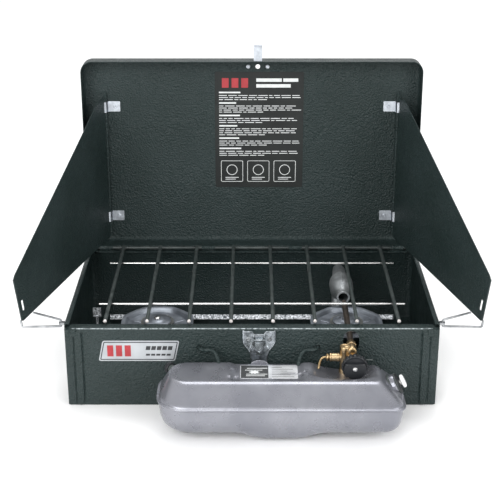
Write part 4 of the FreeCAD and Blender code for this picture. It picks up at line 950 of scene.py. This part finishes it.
def shelf_edge():
    """The upper edge of the shelf's back lip, its bright speckle a painted highlight, and its little stamped
    tabs.
    """
    strip = Solid()
    draw = random.Random(3)
    across = [-183.5 + 367 * k / 240 for k in range(241)]
    loops = []
    for y, z in ((1.2, 60.6), (0.9, 61.5), (1.4, 62.0), (2.0, 61.7), (2.1, 60.6)):
        loops.append([(x, y, z + (0.25 * math.sin(x * 1.9) + 0.12 * draw.random() if z > 61 else 0))
                      for x in across])
    count = len(across)
    verts = [v for loop in loops for v in loop]
    faces = []
    for j in range(5):
        a, b = j * count, (j + 1) % 5 * count
        faces += [[a + i, a + i + 1, b + i + 1, b + i] for i in range(count - 1)]
    faces.append([j * count for j in range(5)])
    faces.append([j * count + count - 1 for j in range(5)][::-1])
    strip.add(verts, faces)
    for left, right in ((-183.5, -163), (-79, 79), (163, 183.5)):
        count = int((right - left) / 1.2)
        loops = []
        for k in range(count + 1):
            x = left + (right - left) * k / count
            wave = 0.35 * math.sin(x * 1.7) + 0.25 * draw.random()
            section = [(1.4, 60.2), (1.4, 61.6 + wave * 0.5), (-1.5, 61.0 + wave), (-4.0, 59.4 + wave),
                       (-5.0, 58.6 + wave * 0.6), (-4.8, 57.8), (-1.5, 59.6)]
            loops.append([(x, y, z) for y, z in section])
        strip.rings(loops)
    strip.build("shelf_strip", "case", "painted_glint_tin", slot="green_enamel")


# -------------------------------------------------------------- burners


def burner_place(sign):
    """The middle of a burner's underside."""
    return Matrix.Translation((sign * 120, -34, 49))


def burner(side, sign):
    """A bowl with eight soft corners, the dish in it and the stack of wavy rings."""
    at = burner_place(sign)
    bowl = Solid()

    def octagon(angle, radius, height):
        if radius < 40:
            return 1
        local = (angle + math.pi / 8) % (math.pi / 4) - math.pi / 8
        return 1 + 0.045 * (1 / math.cos(local) - 1) * 12 - 0.02

    top = [(8.6, 1.2), (22, 1.2), (24.2, 2.2), (36, 13.2), (38, 14.6), (39.2, 15.0), (41.0, 18.2),
           (42.0, 19.6), (43.0, 20.0), (45.6, 20.4), (46.6, 20.2)]
    under = [(46.7, 19.6), (45.6, 19.5), (43.2, 19.2), (41.4, 18.3), (39.6, 14.4), (37.6, 13.2), (36.4, 12.2),
             (24.4, 1.2), (22.4, 0.1), (8.6, 0.1)]
    bowl.lathe(top + under, at, 96, octagon)
    bowl.build(f"bowl_{side}", "case", "aluminised_steel", [f"burner_bowl_{side}"], angle=30)
    dish = Solid()
    dish.lathe([(20.8, 12.6), (22.4, 13.8), (36.4, 14.9), (37.6, 15.0), (37.6, 15.5), (36.2, 15.4),
                (22.6, 14.3), (20.8, 13.2)], at, 72)
    for k in range(8):
        angle = math.radians(22.5 + 45 * k)
        dish.tube([(23 * math.cos(angle), 23 * math.sin(angle), 14.3),
                   (35 * math.cos(angle), 35 * math.sin(angle), 15.3)], 0.45, at, 8)
    dish.build(f"dish_{side}", "case", "dish_tin", slot="aluminised_steel")
    stack = Solid()
    for k in range(7):
        level = 8 + 1.9 * k
        outer = 21.0 if k % 2 == 0 else 19.6
        wave = 0.018 if k % 2 == 0 else 0.03
        stack.lathe([(4.3, level), (17, level), (outer - 0.4, level + 0.5), (outer, level + 0.9),
                     (outer - 0.2, level + 1.4), (16, level + 1.45), (4.3, level + 1.45)], at, 96,
                    wave=lambda a, r, h, w=wave, k=k: 1 + (w * math.cos(24 * a + 3.1 * k) if r > 15 else 0))
    stack.build(f"ring_stack_{side}", "case", "stainless", [f"burner_rings_{side}"], angle=40)


def burner_tops():
    """The bases, caps and screws of both burners."""
    bases, caps, screws = Solid(), Solid(), Solid()
    for sign in (-1, 1):
        at = burner_place(sign)
        bases.lathe([(0, -9), (8, -9), (8, 1.0), (12, 3.0), (19, 5.0), (19.6, 5.8), (19.6, 7.4), (19, 7.8),
                     (4, 7.8), (4, 21.3), (0, 21.3)], at, 72)
        caps.lathe([(2.7, 21.5), (17.3, 21.5), (17.6, 22.0), (16.0, 22.9), (12.0, 23.1), (9.4, 23.3),
                    (8.2, 24.2), (6.8, 24.6), (2.7, 24.6)], at, 72)
        screws.lathe([(0, 21.5), (2.3, 21.5), (2.3, 24.7), (4.3, 24.7), (4.3, 25.4), (3.8, 26.4), (2.6, 27.0),
                      (0, 27.2)], at, 40)
    bases.build("burner_feet", "case", "stainless", ["burner_bases"], bevel=0.1)
    caps.build("burner_lids", "case", "dish_tin", ["burner_caps"], slot="stainless")
    screws.build("burner_bolts", "case", "plated_steel", ["burner_screws"])


def gas_path():
    """The open-ended mixing bulb that takes the generator's end."""
    chamber = Solid()
    at = facing((0, 1, 0), (GENERATOR_X, 2, GENERATOR_Z))
    outer = [(6.3, 0), (8.4, 0), (8.8, 0.8), (8.8, 2.0), (7.9, 3.2), (7.6, 6), (9.4, 12), (12.6, 17),
             (14.8, 22), (15.4, 28), (15.4, 44), (14.6, 50), (12.4, 56), (10.2, 60), (9.4, 64), (9.0, 70),
             (9.0, 84), (7.9, 84)]
    inner = [(7.9, 70), (8.2, 62), (13.2, 50), (14.2, 44), (14.2, 28), (13.4, 22), (8.2, 12), (6.3, 5)]
    chamber.lathe(outer + inner, at, 72)
    chamber.tube([(9.0, 0, 12), (15.6, 0, 24), (15.9, 0, 46), (10.2, 0, 60)],
                 0.6, at @ Matrix.Rotation(math.radians(90), 4, "Z"), 8)
    chamber.build("gas_bulb", "case", "galvanised_steel", ["mixing_chamber"], angle=50)


# ---------------------------------------------------------------- grate


def grate():
    """Eight bars with eyes round the hinge rod, their bare tips and two cross rods."""
    wires, tips = Solid(), Solid()
    for i in range(8):
        x = (i - 3.5) * 50.2
        wires.tube([(x, y, 109) for y in (-115.4, -60, 0, 60, 112)], 2.3, steps=16, round_end=False)
        eye = [(2.1, -2.3), (3.3, -2.3), (3.6, -1.6), (3.6, 1.6), (3.3, 2.3), (2.1, 2.3)]
        wires.lathe(eye, facing((1, 0, 0), (x, HINGE_Y, HINGE_Z)), 28)
        wires.tube([(x, 110, 109), (x, 116, 109.0), (x, 119.4, 108.4)], 2.2, steps=14)
        tips.lathe([(0, -0.3), (2.3, -0.3), (2.34, 0.6), (2.0, 1.2), (1.2, 1.55), (0, 1.6)],
                   facing((0, -1, 0), (x, -115.4, 109)), 24)
    wires.build("grate_wires", "grate", "black_enamel", ["grate_bars"], angle=50)
    tips.build("grate_tips", "grate", "bare_steel", slot="black_enamel")
    rods = Solid()
    for y in (-59, 70):
        rods.tube([(x, y, 105.25) for x in (-190, -60, 60, 190)], 1.5, steps=14)
    rods.build("grate_rods", "grate", "plated_steel", ["grate_cross_rods"])


# ------------------------------------------------------ latch and badge


LATCH_X, LATCH_PIVOT_Z = 8.4, 90


def latch():
    """The latch's plate with its rivets and black patches of painted shade beside and under the tongue, and
    the tongue that swings on its pivot.
    """
    plate = Solid()
    left = [(-19, 1.2), (-17.8, 0), (-8.2, 0), (-6.8, -3.2), (-5.4, -4.0)]
    side = [(19, -12), (18.6, -15.5), (16.4, -19.6), (12.6, -24), (10.4, -29), (9.5, -34), (9.5, -41.4)]
    outline = left + [(-x, z) for x, z in left[::-1]] + side + [(-x, z) for x, z in side[::-1]]
    shape = closed_outline(outline, 2.4)
    face = upright(LATCH_X, FRONT, 100.4)
    plate.prism(shape, 0.05, 1.25, face)
    for sign in (-1, 1):
        plate.tube([(sign * 9.4, -18.6, 1.0), (sign * 11.2, -22.6, 1.5), (sign * 8.6, -27.4, 1.0)],
                   1.1, face, 10)
        plate.tube([(sign * 6.2, -3.4, 1.0), (sign * 7.2, -12, 1.2), (sign * 6.6, -17, 1.0)], 0.8, face, 10)
    rim = [(p[0], p[1], 1.1) for p in shape]
    plate.tube(rim + [rim[0]], 0.75, face, 8, round_end=False)
    plate.build("latch_base", "case", "latch_steel", ["latch_plate"], slot="plated_steel", bevel=0.35)
    # The black patches beside and below the tongue are painted shade of the recesses there.
    painted_shade_patches, dots = Solid(), Solid()
    for sign in (-1, 1):
        painted_shade_patch = [(sign * x, z) for x, z in ((5.2, -6.4), (7.6, -6.4), (8.2, -17.6), (5.2, -20))]
        painted_shade_patches.prism(closed_outline(painted_shade_patch, 0.8), 1.2, 1.34, face)
        rivet(dots, face @ Matrix.Translation((sign * 12.8, -9.9, 1.2)), 3.1, 1.5)
    painted_shade_patches.prism([(-4.2, -29.6), (4.2, -29.6), (3.4, -31.4), (-3.4, -31.4)], 1.2, 1.34, face)
    painted_shade_patches.build("latch_painted_shade", "case", "black_enamel")
    dots.build("latch_dots", "case", "dark_tin", ["latch_rivets"], slot="plated_steel")
    axle = facing((1, 0, 0), (LATCH_X, FRONT - 3.6, LATCH_PIVOT_Z))
    pivot = Solid()
    pivot.lathe([(0, -6.6), (1.15, -6.6), (1.15, 6.6), (0, 6.6)], axle, 20)
    ear = [(FRONT - p[0], LATCH_PIVOT_Z + p[1]) for p in closed_outline(block(0.8, -3.4, 5.2, 2.6), 1.6)]
    for sign in (-1, 1):
        low, high = sorted((sign * 6.5, sign * 7.6))
        pivot.extrude(ear, LATCH_X + low, LATCH_X + high)
    pivot.build("latch_hinge", "case", "latch_steel", ["latch_pivot"], slot="plated_steel", bevel=0.2)
    arm = Solid()
    arm.lathe([(2.15, -4.6), (2.15, 4.6), (1.28, 4.6), (1.28, -4.6)], axle, 28)
    tongue = [(-4.6, 1.0), (4.6, 1.0), (4.6, -13), (2.6, -18.6), (-2.6, -18.6), (-4.6, -13)]
    arm.prism(closed_outline(tongue, 2.2), 3.0, 4.3, upright(LATCH_X, FRONT, LATCH_PIVOT_Z))
    arm.tube([(5.2, FRONT - 4.5, 86.5), (11.6, FRONT - 4.5, 86.5)], 0.7, None, 10)
    arm.tube([(6.8, FRONT - 4.5, 76), (LATCH_X, FRONT - 4.7, 74.6), (10, FRONT - 4.5, 76)], 0.6, None, 10)
    arm.build("latch_tongue", "latch", "latch_steel", ["latch_lever"], slot="plated_steel", bevel=0.3)


def badge():
    """The leaning badge plate with a plain frame, two plain rows and three plain bars."""
    at = upright(-135.5, FRONT, 74.3)

    def shape(inset):
        w, h, lean = 46 - inset, 13.5 - inset, 2.8 * (1 - inset / 13.5)
        corners = [(-w - lean, -h), (w - lean, -h), (w + lean, h), (-w + lean, h)]
        return closed_outline(corners, max(3.0 - inset, 0.6), 5)

    plate = Solid()
    plate.prism(shape(0), 0.02, 0.55, at)
    plate.build("badge_base", "case", "badge_white", ["badge_plate"], slot="foil_label", bevel=0.12)
    line = Solid()
    line.border(shape(1.5), shape(2.7), 0.55, 0.62, at)
    for z, length, height in ((1.2, 33, 5.2), (-6.4, 31, 2.6)):
        for run in range(5):
            start = 8 + length * run / 5
            end, lean = start + length / 5 - 1.3, 0.2 * height
            line.prism([(start, z), (end, z), (end + lean, z + height), (start + lean, z + height)],
                       0.55, 0.62, at)
    line.build("badge_marks", "case", "black_ink", slot="black_label")
    flash = Solid()
    for x in (-38, -27.5, -17):
        flash.prism(block(x, -7.4, x + 7.4, 7.4), 0.55, 0.64, at)
    flash.build("badge_flash", "case", "red_ink", slot="black_label")


stage()
lid()
lid_label()
lid_fittings()
for side, sign in (("left", -1), ("right", 1)):
    windshield(side, sign)
    burner(side, sign)
case_tub()
front_panel()
shelf_edge()
burner_tops()
gas_path()
grate()
latch()
badge()
tank_shells()
tank_label()
hangers()
valve()
knob()
pump()
filler_cap()
